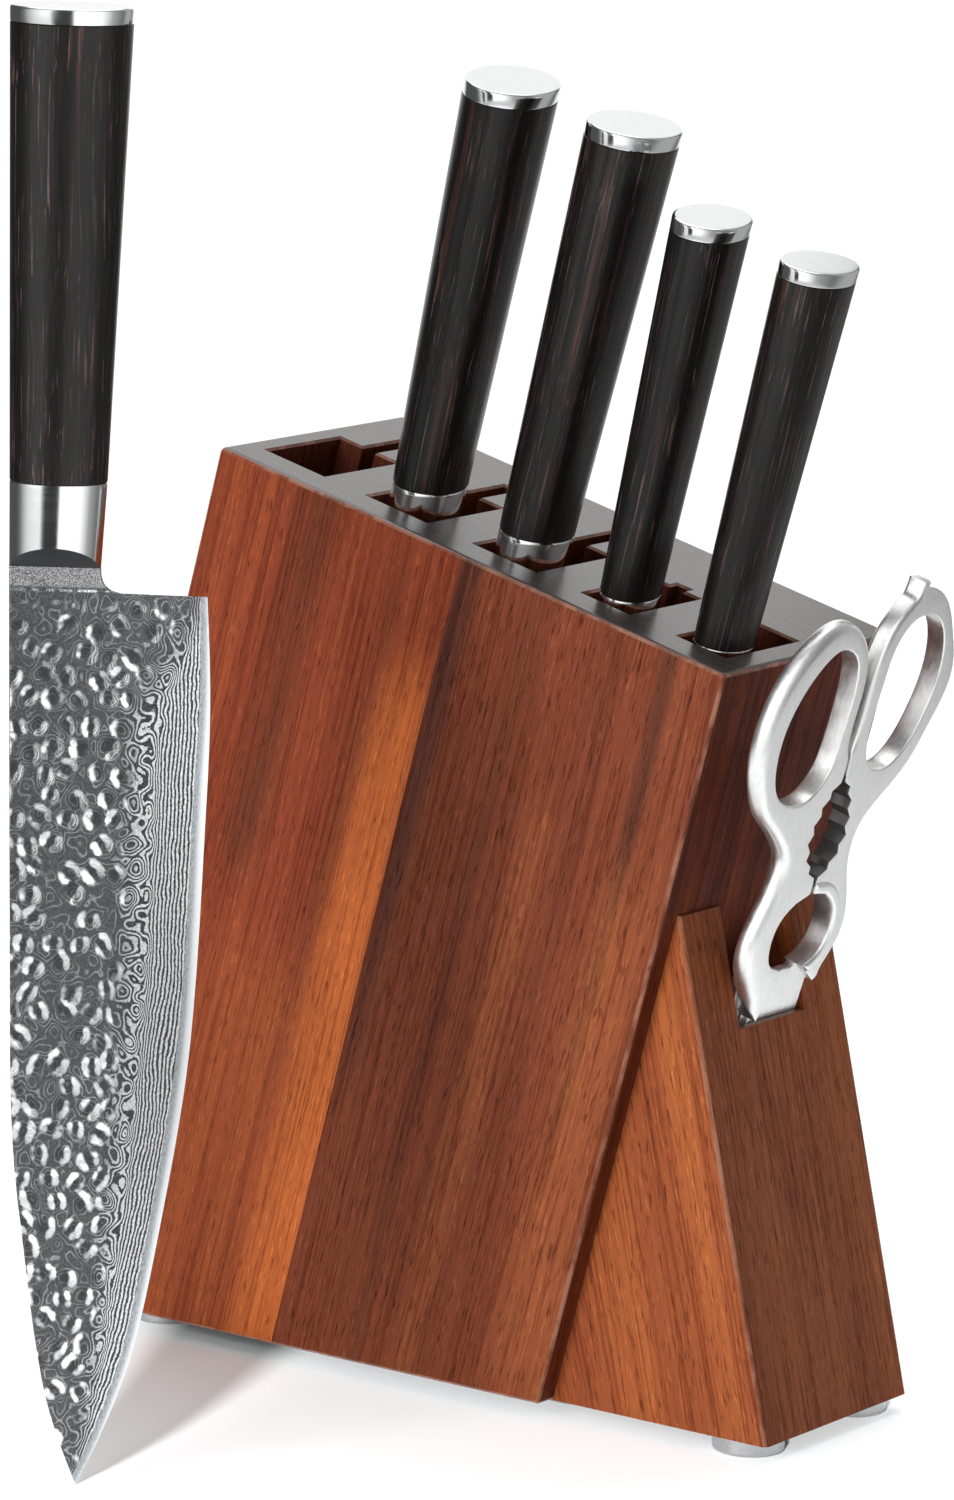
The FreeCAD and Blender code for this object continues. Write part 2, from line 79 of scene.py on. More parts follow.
def in_slot(slot, y, rise, tilt):
    """A knife's place in its slot: its offset across, how far it stands proud, and its tilt."""
    at = Matrix.Translation((SLOT_CENTRES[slot], y, TOP_H + rise))
    return LEAN_FRAME @ at @ turn(tilt, "X") @ turn(90, "Z")


CHEF_PLACE = Matrix.Translation((-21.1, -159.9, 240.8)) @ turn(35.25, "Z")
SHEARS_PLACE = (LEAN_FRAME @ Matrix.Translation((172.75, 38.6, 137.6)) @ turn(1.28, "Y")
                @ turn(90, "Z"))


def added(name, data):
    thing = bpy.data.objects.new(name, data)
    bpy.context.scene.collection.objects.link(thing)
    return thing


def drawn(coords, faces, *materials):
    """A new mesh with its materials."""
    mesh = bpy.data.meshes.new("mesh")
    mesh.from_pydata(coords, [], faces)
    for material in materials:
        mesh.materials.append(material)
    return mesh


def placed(name, mesh, place, body, nodes):
    """A new piece that stands for these CAD nodes. Its mesh is drawn in millimetres in its own
    frame, and keeps that frame, in metres, as the "local" attribute its material reads."""
    mesh.name = name
    mesh.transform(TO_METRES)
    local = mesh.attributes.new("local", "FLOAT_VECTOR", "POINT")
    coords = np.zeros(len(mesh.vertices) * 3, np.float32)
    mesh.vertices.foreach_get("co", coords)
    local.data.foreach_set("vector", coords)
    matrix = place.copy()
    matrix.translation = matrix.translation * MM
    mesh.transform(matrix)
    piece = added(name, mesh)
    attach(piece, body)
    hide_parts(*nodes)


# --- shader helper ---
def opaque(value):
    """A colour with its alpha, and anything else as it is."""
    return (*value, 1) if isinstance(value, tuple) and len(value) == 3 else value


class Shader:
    """A material with short calls to add its nodes."""

    def __init__(self, name):
        self.material = bpy.data.materials.new(name)
        self.material.use_nodes = True
        self.tree = self.material.node_tree
        self.bsdf = self.tree.nodes["Principled BSDF"]

    def put(self, node, key, value):
        socket = node.inputs[key]
        if isinstance(value, bpy.types.NodeSocket):
            self.tree.links.new(value, socket)
        else:
            socket.default_value = value

    def node(self, kind, inputs, output=0, **settings):
        node = self.tree.nodes.new("ShaderNode" + kind)
        for key, value in settings.items():
            setattr(node, key, value)
        for key, value in inputs.items():
            self.put(node, key, value)
        return node.outputs[output]

    def math(self, operation, a, b=0.0, clamp=False):
        return self.node("Math", {0: a, 1: b}, operation=operation, use_clamp=clamp)

    def times(self, a, b):
        return self.math("MULTIPLY", a, b)

    def plus(self, a, b):
        return self.math("ADD", a, b)

    def swing(self, value, amount):
        """A value from 0 to 1, turned into one about 0 that is this much wide."""
        return self.times(self.math("SUBTRACT", value, 0.5), amount)

    def blend(self, factor, a, b):
        """A mix of two numbers."""
        return self.node("Mix", {0: factor, 2: a, 3: b}, data_type="FLOAT")

    def moved(self, vector, **by):
        """A vector moved along its axes."""
        return self.node("VectorMath", {0: vector, 1: self.node("CombineXYZ", by)},
                         operation="ADD")

    def object_point(self):
        """The point in the whole object's frame, in metres."""
        return self.node("TexCoord", {}, "Object")

    def local_point(self):
        """The point in the piece's own frame, in metres."""
        return self.node("Attribute", {}, "Vector", attribute_name="local")

    def mapped(self, vector, scale=(1, 1, 1), rotation=(0, 0, 0), location=(0, 0, 0)):
        """A vector scaled, turned, then moved."""
        return self.node("Mapping", {"Vector": vector, "Scale": scale, "Rotation": rotation,
                                     "Location": location})

    def noise(self, vector, scale=1.0, detail=2.0, roughness=0.5):
        """Noise from 0 to 1. Its scale is one number, or one for each axis."""
        if isinstance(scale, tuple):
            vector, scale = self.mapped(vector, scale), 1.0
        return self.node("TexNoise", {"Vector": vector, "Scale": scale, "Detail": detail,
                                      "Roughness": roughness})

    def step(self, value, low, high, out_low=0.0, out_high=1.0):
        """A smooth step of a value between two limits."""
        return self.node("MapRange", {"Value": value, "From Min": low, "From Max": high,
                                      "To Min": out_low, "To Max": out_high},
                         interpolation_type="SMOOTHSTEP")

    def ramp(self, value, stops):
        """A colour ramp through (position, colour) stops."""
        colour = self.node("ValToRGB", {"Fac": value}, "Color")
        elements = colour.node.color_ramp.elements
        while len(elements) < len(stops):
            elements.new(0.5)
        for element, (position, tint) in zip(elements, stops):
            element.position = position
            element.color = (*tint, 1)
        return colour

    def mix(self, factor, a, b, blend="MIX"):
        """A mix of two colours."""
        return self.node("Mix", {0: factor, 6: opaque(a), 7: opaque(b)}, 2, data_type="RGBA",
                         blend_type=blend)

    def tinted(self, factor, colour, tint):
        return self.mix(factor, colour, tint, "MULTIPLY")

    def split(self, vector):
        return self.node("SeparateXYZ", {"Vector": vector}).node.outputs

    def attribute(self, name):
        """A number stored on the mesh."""
        return self.node("Attribute", {}, "Fac", attribute_name=name)

    def bump(self, height, distance, strength):
        return self.node("Bump", {"Height": height, "Distance": distance, "Strength": strength})

    def finish(self, **sockets):
        for key, value in sockets.items():
            self.put(self.bsdf, key.replace("_", " "), opaque(value))
        return self.material


# --- wood ---
# dark end grain, its colour greyed as a painted sheen of the lacquer
END_GRAIN_AND_PAINTED_SHEEN = (0.048, 0.040, 0.037)
# painted shade for the faces that look forward
FRONT_PAINTED_SHADE = (0.55, 0.46, 0.4)
# painted highlight colour for the rounded edges
PAINTED_EDGE_HIGHLIGHT = (0.36, 0.17, 0.11)
WANDER = 0.007                  # how far the grain strays from a straight line, in metres


def wood(name, seed, slope, palette, streaks=(), end=END_GRAIN_AND_PAINTED_SHEEN, front=FRONT_PAINTED_SHADE):
    """Oiled solid wood with its grain along the slope and a lacquered end grain. The palette is a
    ramp, streaks are (s, half width, colour, strength, h from, h to) in millimetres in the leaning
    frame, and front is the painted shade tint for the faces that look forward."""
    s = Shader(name)
    corner = BLOCK_CORNER * MM
    from_corner = s.node("VectorMath", {0: s.object_point(), 1: tuple(corner)},
                         operation="SUBTRACT")
    local = s.mapped(from_corner, rotation=(0, radians(-slope), 0))
    across, depth, along = s.split(local)
    shifted = s.mapped(local, location=(seed * 0.37, seed * 0.21, seed * 0.53))
    meander = s.noise(shifted, (14, 14, 4), detail=2)
    drift = s.swing(meander, WANDER)
    warped = s.moved(shifted, X=drift, Y=drift)
    broad = s.noise(warped, (75, 60, 2.4), detail=4, roughness=0.6)
    colour = s.ramp(broad, palette)
    patchy = s.step(s.noise(warped, (130, 90, 6), detail=3), 0.3, 0.62, 0.35, 1.0)
    for centre, width, tint, strength, low, high in streaks:
        offset = s.plus(across, s.plus(drift, -centre * MM))
        near = s.math("DIVIDE", offset, width * MM)
        hump = s.math("SUBTRACT", 1.0, s.times(near, near), clamp=True)
        span = s.times(s.step(along, low * MM, (low + 30) * MM),
                      s.step(along, (high - 30) * MM, high * MM, 1.0, 0.0))
        factor = s.times(s.times(hump, span), s.times(patchy, strength))
        colour = s.mix(factor, colour, tint)
    bands = s.noise(warped, (330, 240, 4), detail=3, roughness=0.6)
    colour = s.tinted(s.step(bands, 0.3, 0.46, 0.5, 0.0), colour, (0.6, 0.52, 0.5))
    colour = s.tinted(s.step(bands, 0.54, 0.7, 0.0, 0.4), colour, (1.30, 1.42, 1.35))
    fibre = s.noise(warped, (1150, 800, 14), detail=4, roughness=0.68)
    colour = s.tinted(s.step(fibre, 0.36, 0.53, 0.75, 0.0), colour, (0.55, 0.42, 0.38))
    flecks = s.noise(warped, (1500, 1100, 210), detail=2, roughness=0.55)
    colour = s.tinted(s.step(flecks, 0.57, 0.7, 0.0, 0.7), colour, (1.45, 1.65, 1.6))
    pores = s.noise(s.mapped(shifted, scale=(2300, 1800, 190), location=(3, 1, 2)), detail=1)
    colour = s.tinted(s.step(pores, 0.29, 0.41, 0.85, 0.0), colour, (0.42, 0.32, 0.3))
    normal = s.node("TexCoord", {}, "Normal")
    upward = (sin(radians(slope)), 0, cos(radians(slope)))
    forward = (upward[2], 0, -upward[0])
    facing = s.math("ABSOLUTE", s.node("VectorMath", {0: normal, 1: upward}, "Value",
                                       operation="DOT_PRODUCT"))
    ahead = s.node("VectorMath", {0: normal, 1: forward}, "Value", operation="DOT_PRODUCT")
    # Painted shade: faces that look forward are darkened by the front tint.
    colour = s.mix(s.step(ahead, 0.35, 0.9), colour, s.tinted(1.0, colour, front))
    # Painted highlight: rounded edges, off all the main faces, are lightened in noisy patches.
    sideways = s.math("ABSOLUTE", s.split(normal)[1])
    flatness = s.math("MAXIMUM", sideways, s.math("MAXIMUM", facing, s.math("ABSOLUTE", ahead)))
    edge_highlight_noise = s.step(s.noise(shifted, (160, 160, 60), detail=4, roughness=0.7),
                    0.42, 0.62, 0.15, 0.75)
    painted_edge_highlight = s.times(s.step(flatness, 0.86, 0.96, 1.0, 0.0), edge_highlight_noise)
    colour = s.mix(painted_edge_highlight, colour, PAINTED_EDGE_HIGHLIGHT)
    rings = s.noise(warped, (260, 900, 1), detail=4, roughness=0.6)
    end_grain = s.mix(s.step(rings, 0.3, 0.75), end, tuple(c * 1.8 for c in end))
    colour = s.mix(s.step(facing, 0.72, 0.97), colour, end_grain)
    gloss = s.step(facing, 0.25, 0.7)
    height = s.plus(s.times(fibre, 0.6), s.times(pores, 0.8))
    grit = s.noise(shifted, (520, 520, 520), detail=3, roughness=0.6)
    height = s.plus(s.times(height, s.step(facing, 0.3, 0.8, 1.0, 0.25)),
                    s.times(grit, s.step(facing, 0.5, 0.9, 0.0, 0.1)))
    rough = s.step(fibre, 0.3, 0.8, 0.58, 0.46)
    return s.finish(Base_Color=colour, Roughness=rough, Specular_IOR_Level=0.06,
                    Coat_Weight=s.times(gloss, 0.95), Coat_Roughness=0.27, Coat_IOR=1.6,
                    Normal=s.bump(height, 0.00010, 0.5))


LEFT_STAVE = wood(
    "wood_left_stave", 1.0, LEAN,
    [(0.3, (0.172, 0.034, 0.013)), (0.5, (0.214, 0.042, 0.016)), (0.72, (0.268, 0.061, 0.021))],
    [(33, 9, (0.085, 0.025, 0.013), 0.75, 118, 260), (60, 5, (0.11, 0.028, 0.013), 0.55, 60, 240),
     (75, 15, (0.55, 0.140, 0.033), 0.95, -60, 215),
     (56, 34, (0.31, 0.080, 0.022), 0.55, -80, 130)])
RIGHT_STAVE = wood(
    "wood_right_stave", 2.3, LEAN,
    [(0.3, (0.126, 0.030, 0.0145)), (0.5, (0.170, 0.041, 0.018)), (0.72, (0.222, 0.058, 0.0235))],
    [(80, 5, (0.055, 0.020, 0.014), 0.9, 80, 270), (102, 3.5, (0.08, 0.024, 0.013), 0.7, 0, 260),
     (142, 3.5, (0.07, 0.023, 0.013), 0.75, 90, 260), (149, 14, (0.36, 0.105, 0.034), 0.6, 20, 190),
     (118, 7, (0.33, 0.100, 0.036), 0.5, -20, 200)])
FAR_LEFT_STAVE = wood(
    "wood_far_left_stave", 4.1, LEAN,
    [(0.34, (0.13, 0.033, 0.016)), (0.5, (0.22, 0.050, 0.020)), (0.68, (0.33, 0.09, 0.03))],
    [(50, 7, (0.07, 0.022, 0.012), 0.6, 40, 260), (20, 12, (0.38, 0.1, 0.026), 0.6, -40, 200)])
FAR_RIGHT_STAVE = wood(
    "wood_far_right_stave", 5.7, LEAN,
    [(0.34, (0.15, 0.036, 0.016)), (0.5, (0.24, 0.056, 0.021)), (0.68, (0.34, 0.1, 0.03))],
    [(120, 8, (0.08, 0.024, 0.013), 0.6, 20, 260), (90, 10, (0.42, 0.12, 0.03), 0.6, -40, 220)])
CORE = wood(
    "wood_core", 7.9, LEAN,
    [(0.32, (0.07, 0.020, 0.012)), (0.5, (0.12, 0.030, 0.016)), (0.7, (0.2, 0.050, 0.022))],
    # front: painted shade on the forward faces
    front=(0.9, 0.78, 0.72))
WEDGE = wood(
    "wood_wedge", 9.2, WEDGE_SLOPE,
    [(0.3, (0.240, 0.058, 0.020)), (0.5, (0.302, 0.078, 0.026)), (0.72, (0.375, 0.104, 0.030))],
    # front: painted shade on the wedge's forward faces
    end=(0.05, 0.018, 0.010), front=(0.72, 0.8, 0.92))

STAVES = {"side_near_back_stave": LEFT_STAVE, "side_near_front_stave": RIGHT_STAVE,
          "side_far_back_stave": FAR_LEFT_STAVE, "side_far_front_stave": FAR_RIGHT_STAVE,
          "base_board": CORE, "wedge_stand": WEDGE}
for number in range(1, 7):
    STAVES["core_board_" + str(number)] = CORE


def recoat(node, material):
    mesh = frame["nodes"][node].data
    mesh.materials.clear()
    mesh.materials.append(material)


for node, material in STAVES.items():
    recoat(node, material)


# --- metals ---
def polished():
    """Polished steel, with faint lines round it."""
    s = Shader("steel_polished")
    point = s.local_point()
    brush = s.noise(point, (60, 60, 5200), detail=3, roughness=0.6)
    smear = s.noise(point, (90, 90, 60), detail=2)
    rough = s.plus(s.step(brush, 0.3, 0.7, 0.06, 0.13), s.step(smear, 0.35, 0.75, 0.0, 0.05))
    return s.finish(Base_Color=(0.76, 0.765, 0.77), Metallic=1.0, Roughness=rough,
                    Normal=s.bump(brush, 0.00002, 0.25))


def satin(name, colour, low, high, scale, on_cad=False):
    """Brushed steel, its roughness between low and high. The scale sets which way the fine
    scratches run."""
    s = Shader(name)
    point = s.object_point() if on_cad else s.local_point()
    brush = s.noise(point, scale, detail=4, roughness=0.65)
    mottle = s.noise(point, (240, 240, 240), detail=3)
    tone = s.mix(s.step(brush, 0.3, 0.7, 0.0, 1.0), tuple(c * 0.90 for c in colour), colour)
    rough = s.plus(s.step(brush, 0.3, 0.7, low, high), s.step(mottle, 0.35, 0.7, 0.0, 0.06))
    return s.finish(Base_Color=tone, Metallic=1.0, Roughness=rough,
                    Normal=s.bump(brush, 0.00002, 0.14))


POLISHED = polished()
CAP_TOP = satin("steel_cap_top", (0.75, 0.755, 0.76), 0.16, 0.22, (3800, 160, 160))
SHEARS = satin("steel_shears", (0.9, 0.905, 0.9), 0.29, 0.37, (1400, 1400, 260))
SHEARS_DARK = satin("steel_shears_teeth", (0.24, 0.24, 0.24), 0.34, 0.46, (500, 3000, 500))
SHOULDER = satin("steel_shoulder", (0.085, 0.085, 0.09), 0.3, 0.42, (2600, 260, 260))
# the feet's grey metal, its colour darkened as painted shade for the shadow under the block
FEET_WITH_PAINTED_SHADE = satin("metal_feet", (0.46, 0.47, 0.48), 0.18, 0.3, (700, 700, 2500), True)
PIVOT = satin("steel_pivot", (0.8, 0.8, 0.79), 0.28, 0.38, (1400, 1400, 1400), True)


def handle_wood():
    """Black-brown laminated wood, its streaks along the handle."""
    s = Shader("wood_handle")
    point = s.local_point()
    seed = s.attribute("seed")
    shifted = s.moved(point, X=seed, Z=seed)
    sway = s.swing(s.noise(shifted, 26.0, detail=1), 0.002)
    warped = s.moved(shifted, X=sway, Y=sway)
    fine = s.noise(warped, (1900, 1900, 26), detail=4, roughness=0.65)
    streak = s.noise(warped, (520, 520, 6), detail=4, roughness=0.65)
    colour = s.ramp(streak, [(0.4, (0.0035, 0.0031, 0.0030)), (0.56, (0.0070, 0.0050, 0.0045)),
                             (0.68, (0.040, 0.0150, 0.0115))])
    colour = s.mix(s.step(fine, 0.57, 0.7, 0.0, 0.9), colour, (0.105, 0.062, 0.050))
    colour = s.mix(s.step(fine, 0.3, 0.46, 0.9, 0.0), colour, (0.003, 0.0027, 0.0027))
    rough = s.step(fine, 0.3, 0.7, 0.36, 0.24)
    return s.finish(Base_Color=colour, Roughness=rough, Specular_IOR_Level=0.30,
                    Normal=s.bump(fine, 0.00007, 0.6))


BEVEL_WIDEST = 3.2              # of a broad blade's ground edge, in millimetres


def damascus():
    """Layered steel. The mesh says where: "layer" counts the layers, "hammer" is 1 on the hammered
    side and 0 by the edge, "gleam" is a painted highlight on one wall of a hammer mark, "mark" is
    its depth and sets its painted shade, "bevel" is below 0 on the ground edge, and "neck" is 1 on
    the plain steel under the ferrule."""
    s = Shader("steel_damascus")
    point = s.local_point()
    coarse = s.swing(s.noise(point, 420.0), 0.55)
    jitter = s.swing(s.noise(point, 1900.0, detail=3), 0.5)
    hammer = s.attribute("hammer")
    phase = s.plus(s.attribute("layer"), s.plus(coarse, jitter))
    wave = s.math("SINE", s.times(phase, 2 * pi))
    thin = s.times(hammer, 0.78)
    line = s.step(s.math("SUBTRACT", wave, thin), -0.28, 0.28)
    grain = s.noise(point, scale=2400.0, detail=3, roughness=0.75)
    faded = s.step(s.noise(point, scale=260.0, detail=3, roughness=0.6), 0.36, 0.62, 0.18, 0.85)
    strength = s.blend(hammer, 1.0, faded)
    dark = s.mix(hammer, (0.040, 0.041, 0.044), (0.076, 0.078, 0.082))
    light = s.mix(hammer, (0.8, 0.805, 0.81), (0.46, 0.47, 0.48))
    colour = s.mix(s.times(line, strength), dark, light)
    colour = s.mix(s.step(grain, 0.4, 0.66, 0.0, 0.55), colour,
                   s.mix(hammer, (0.15, 0.155, 0.16), (0.19, 0.195, 0.2)))
    # Painted shade: the hollows of the hammer marks are darkened by their depth.
    colour = s.mix(s.step(s.attribute("mark"), 0.25, 0.7, 0.0, 0.6), colour, (0.035, 0.036, 0.040))
    gleam = s.attribute("gleam")
    # Painted highlight: the marked walls of the hammer marks are painted near white and made
    # smoother.
    bright = s.times(s.step(gleam, 0.11, 0.54), s.step(grain, 0.25, 0.5, 0.75, 1.0))
    colour = s.mix(bright, colour, (0.97, 0.975, 0.98))
    bevel = s.attribute("bevel")
    on_bevel = s.step(bevel, -0.10, 0.1, 1.0, 0.0)
    scratches = s.noise(point, (2600, 300, 900), detail=3)
    ground = s.ramp(s.step(bevel, -BEVEL_WIDEST, 0.0),
                    [(0.0, (0.97, 0.975, 0.98)), (0.4, (0.74, 0.76, 0.78)),
                     (0.75, (0.36, 0.38, 0.4)), (0.97, (0.26, 0.28, 0.3))])
    ground = s.mix(s.step(scratches, 0.35, 0.65, 0.0, 0.35), ground, (0.75, 0.78, 0.8))
    colour = s.mix(on_bevel, colour, ground)
    speckle = s.noise(point, scale=3400.0, detail=1, roughness=0.7)
    plain = s.mix(s.step(speckle, 0.38, 0.6), (0.13, 0.13, 0.135), (0.5, 0.5, 0.505))
    neck = s.attribute("neck")
    colour = s.mix(neck, colour, plain)
    rough = s.step(line, 0.0, 1.0, 0.44, 0.28)
    rough = s.blend(on_bevel, rough, 0.3)
    rough = s.blend(bright, rough, 0.16)
    relief = s.times(line, s.math("SUBTRACT", 1.0, on_bevel))
    return s.finish(Base_Color=colour, Metallic=1.0, Roughness=rough,
                    Normal=s.bump(s.plus(relief, grain), 0.00004, 0.5))


HANDLE_WOOD = handle_wood()
DAMASCUS = damascus()


# --- mesh helpers ---
LAP = 6                         # points that a closed curve repeats past its ends, to join smoothly


def spline(points, step, closed=False):
    """Points about one step apart on the natural cubic spline through the given ones."""
    p = np.array(points, float)
    if closed:
        p = np.vstack([p[-LAP:], p, p[:LAP + 1]])
    chord = np.concatenate([[0], np.cumsum(np.linalg.norm(np.diff(p, axis=0), axis=1))])
    if len(p) == 2:
        t = np.linspace(0, chord[-1], max(2, int(chord[-1] / step) + 1))
        return p[0] + (p[1] - p[0]) * (t / chord[-1])[:, None]
    h = np.diff(chord)
    n = len(p)
    a = np.zeros((n, n))
    b = np.zeros((n, 2))
    a[0, 0] = a[-1, -1] = 1
    for i in range(1, n - 1):
        a[i, i - 1:i + 2] = h[i - 1], 2 * (h[i - 1] + h[i]), h[i]
        b[i] = 6 * ((p[i + 1] - p[i]) / h[i] - (p[i] - p[i - 1]) / h[i - 1])
    m = np.linalg.solve(a, b)
    first, last = (chord[LAP], chord[-LAP - 1]) if closed else (0, chord[-1])
    t = np.linspace(first, last, max(3, int((last - first) / step) + 1))
    i = np.clip(np.searchsorted(chord, t, "right") - 1, 0, n - 2)
    w0, w1, hi = (chord[i + 1] - t)[:, None], (t - chord[i])[:, None], h[i][:, None]
    curve = (m[i] * w0 ** 3 + m[i + 1] * w1 ** 3) / (6 * hi)
    curve += (p[i] / hi - m[i] * hi / 6) * w0 + (p[i + 1] / hi - m[i + 1] * hi / 6) * w1
    return curve[:-1] if closed else curve


def joined(runs, step):
    """One closed outline from runs that each start where the one before them ended, and each
    sample's run number."""
    points, numbers = [], []
    for number, run in enumerate(runs):
        samples = spline([runs[number - 1][-1], *run], step)[:-1]
        points.append(samples)
        numbers += [number] * len(samples)
    return np.vstack(points), np.array(numbers)


def inside(points, loops):
    """Which points are inside the outline and outside its holes."""
    batch = 4000
    result = np.zeros(len(points), bool)
    for loop in loops:
        nxt = np.roll(loop, -1, axis=0)
        for start in range(0, len(points), batch):
            x, z = points[start:start + batch].T
            crosses = (loop[:, 1] > z[:, None]) != (nxt[:, 1] > z[:, None])
            rise = np.where(nxt[:, 1] == loop[:, 1], 1e-9, nxt[:, 1] - loop[:, 1])
            at = loop[:, 0] + (z[:, None] - loop[:, 1]) * (nxt[:, 0] - loop[:, 0]) / rise
            odd = np.sum(crosses & (x[:, None] < at), axis=1) % 2
            result[start:start + batch] ^= odd.astype(bool)
    return result


def nearest(points, targets):
    """Distance to, and index of, the nearest target for each point."""
    tree = KDTree(len(targets))
    for i, (x, z) in enumerate(targets):
        tree.insert((x, z, 0), i)
    tree.balance()
    found = [tree.find((x, z, 0)) for x, z in points]
    return np.array([f[2] for f in found]), np.array([f[1] for f in found])


RIM_RINGS = 5                   # rings of points across a rounded rim
ROW_RATIO = 0.866               # row to column spacing of a grid of even triangles
JUST_INSIDE = 0.05


def plate(loops, radii, spacing, surface, *materials):
    """A flat piece with rounded rims, drawn in x and z, and its points. Each loop, the outline
    first and then its holes, has a rim radius at every sample. surface(points, drop) gives the
    two y levels, from how far the rounding drops each point."""
    samples, radius = np.vstack(loops), np.concatenate(radii)
    rings = []
    for loop, r in zip(loops, radii):
        tangent = np.roll(loop, -1, axis=0) - np.roll(loop, 1, axis=0)
        normal = np.stack([-tangent[:, 1], tangent[:, 0]], 1)
        normal /= np.maximum(np.linalg.norm(normal, axis=1), 1e-9)[:, None]
        probe = inside(loop + normal * JUST_INSIDE, loops)
        if np.mean(probe) < 0.5:
            normal = -normal
        for k in range(1, RIM_RINGS + 1):
            offset = r * (1 - cos(pi / 2 * k / RIM_RINGS))
            ring = loop + normal * offset[:, None]
            distance, _ = nearest(ring, samples)
            keep = inside(ring, loops) & (distance > 0.96 * offset) & (distance > 0.02)
            rings.append(ring[keep])
    low, high = samples.min(0), samples.max(0)
    rows = np.arange(low[1], high[1], spacing * ROW_RATIO)
    columns = np.arange(low[0], high[0], spacing)
    grid = np.array([(x + (i % 2) * spacing / 2, z) for i, z in enumerate(rows) for x in columns])
    grid = grid[inside(grid, loops)]
    distance, index = nearest(grid, samples)
    grid = grid[distance > radius[index] + 0.45 * spacing]
    points = np.vstack([samples, *rings, grid])
    edges, start = [], 0
    for loop in loops:
        count = len(loop)
        edges += [(start + i, start + (i + 1) % count) for i in range(count)]
        start += count
    flat_points = [Vector(point) for point in points]
    verts, _, faces, origin, _, _ = delaunay_2d_cdt(flat_points, edges, [], 0, 1e-6)
    flat = np.array([tuple(v) for v in verts])
    middles = np.array([flat[list(f)].mean(0) for f in faces])
    keep = inside(middles, loops)
    faces = [list(f) for f, k in zip(faces, keep) if k]
    back = {}
    for new, olds in enumerate(origin):
        for old in olds:
            back[old] = new
    distance, index = nearest(flat, samples)
    r = np.maximum(radius[index], 1e-6)
    gap = np.clip(r - distance, 0, r)
    drop = r - np.sqrt(np.maximum(r * r - gap * gap, 0))
    front, rear = surface(flat, drop)
    count = len(flat)
    coords = [(x, y, z) for (x, z), y in zip(flat, front)]
    coords += [(x, y, z) for (x, z), y in zip(flat, rear)]
    made = faces + [[i + count for i in reversed(f)] for f in faces]
    walls = [(back[a], back[b]) for a, b in edges]
    made += [[b, a, a + count, b + count] for a, b in walls]
    mesh = drawn(coords, made, *materials)
    smooth(mesh)
    return mesh, flat


CREASE = radians(32)


def smooth(mesh):
    """Outward normals, smooth faces and sharp creases."""
    work = bmesh.new()
    work.from_mesh(mesh)
    bmesh.ops.recalc_face_normals(work, faces=work.faces)
    work.to_mesh(mesh)
    work.free()
    mesh.shade_smooth()
    mesh.set_sharp_from_angle(angle=CREASE)


def store(mesh, name, values):
    """Keeps one number for each vertex, for the material to read."""
    attribute = mesh.attributes.new(name, "FLOAT", "POINT")
    attribute.data.foreach_set("value", np.asarray(values, np.float32))


# --- knives ---
# An oval handle with its ferrule and end cap, as in the CAD model: where it starts and ends in x at
# the joint, the butt and the ferrule's lower end, its thicknesses, and the two lengths.
Grip = namedtuple("Grip", "joint butt low joint_thick butt_thick ferrule cap")
LARGE = Grip((-11.35, 11.35), (-13.1, 15.3), (-11.1, 10.25), 16.5, 20.8, 19.9, 3.8)
SMALL = Grip((-9.35, 9.35), (-10.8, 13.2), (-9.2, 8.4), 13.2, 16.8, 16.0, 3.6)
FERRULE_TAPER = 0.7             # the ferrule's loss of thickness, down to its lower end
AROUND = 128
TURNS = np.arange(AROUND) * 2 * pi / AROUND


def oval(grip, handle, z):
    """Centre x, half width and half thickness of the grip at height z, for a handle this long."""
    part = z / handle
    x0 = grip.joint[0] + (grip.butt[0] - grip.joint[0]) * part
    x1 = grip.joint[1] + (grip.butt[1] - grip.joint[1]) * part
    thick = grip.joint_thick + (grip.butt_thick - grip.joint_thick) * part
    if z < 0:
        part = -z / grip.ferrule
        x0 = grip.joint[0] + (grip.low[0] - grip.joint[0]) * part
        x1 = grip.joint[1] + (grip.low[1] - grip.joint[1]) * part
        thick = grip.joint_thick - FERRULE_TAPER * part
    return (x0 + x1) / 2, (x1 - x0) / 2, thick / 2


def lathe(levels, *materials):
    """A closed tube from rings of points."""
    coords = [tuple(point) for level in levels for point in level]
    faces = []
    for i in range(len(levels) - 1):
        for j in range(AROUND):
            a, b = i * AROUND + j, i * AROUND + (j + 1) % AROUND
            faces.append((a, b, b + AROUND, a + AROUND))
    for end in (0, len(levels) - 1):
        middle = len(coords)
        base = end * AROUND
        coords.append(tuple(np.mean(levels[end], axis=0)))
        faces += [(middle, base + j, base + (j + 1) % AROUND) for j in range(AROUND)]
    mesh = drawn(coords, faces, *materials)
    smooth(mesh)
    return mesh


def ring(grip, handle, z, inset=0.0):
    """The grip's oval at a height, drawn in by the inset."""
    centre, wide, thick = oval(grip, handle, z)
    return np.stack([centre + (wide - inset) * np.cos(TURNS), (thick - inset) * np.sin(TURNS),
                     np.full(AROUND, z)], 1)


def handle_mesh(grip, handle, seed):
    """The wooden part of the grip, its ends eased by (height, inset) steps."""
    ends = ((0.0, 0.30), (0.08, 0.12), (0.25, 0.0))
    levels = [ring(grip, handle, z, inset) for z, inset in ends]
    levels += [ring(grip, handle, z) for z in np.linspace(2, handle - 2, 24)]
    levels += [ring(grip, handle, handle - z, inset) for z, inset in reversed(ends)]
    mesh = lathe(levels, HANDLE_WOOD)
    store(mesh, "seed", [seed] * len(mesh.vertices))
    return mesh


CAP_ROUND = 0.75


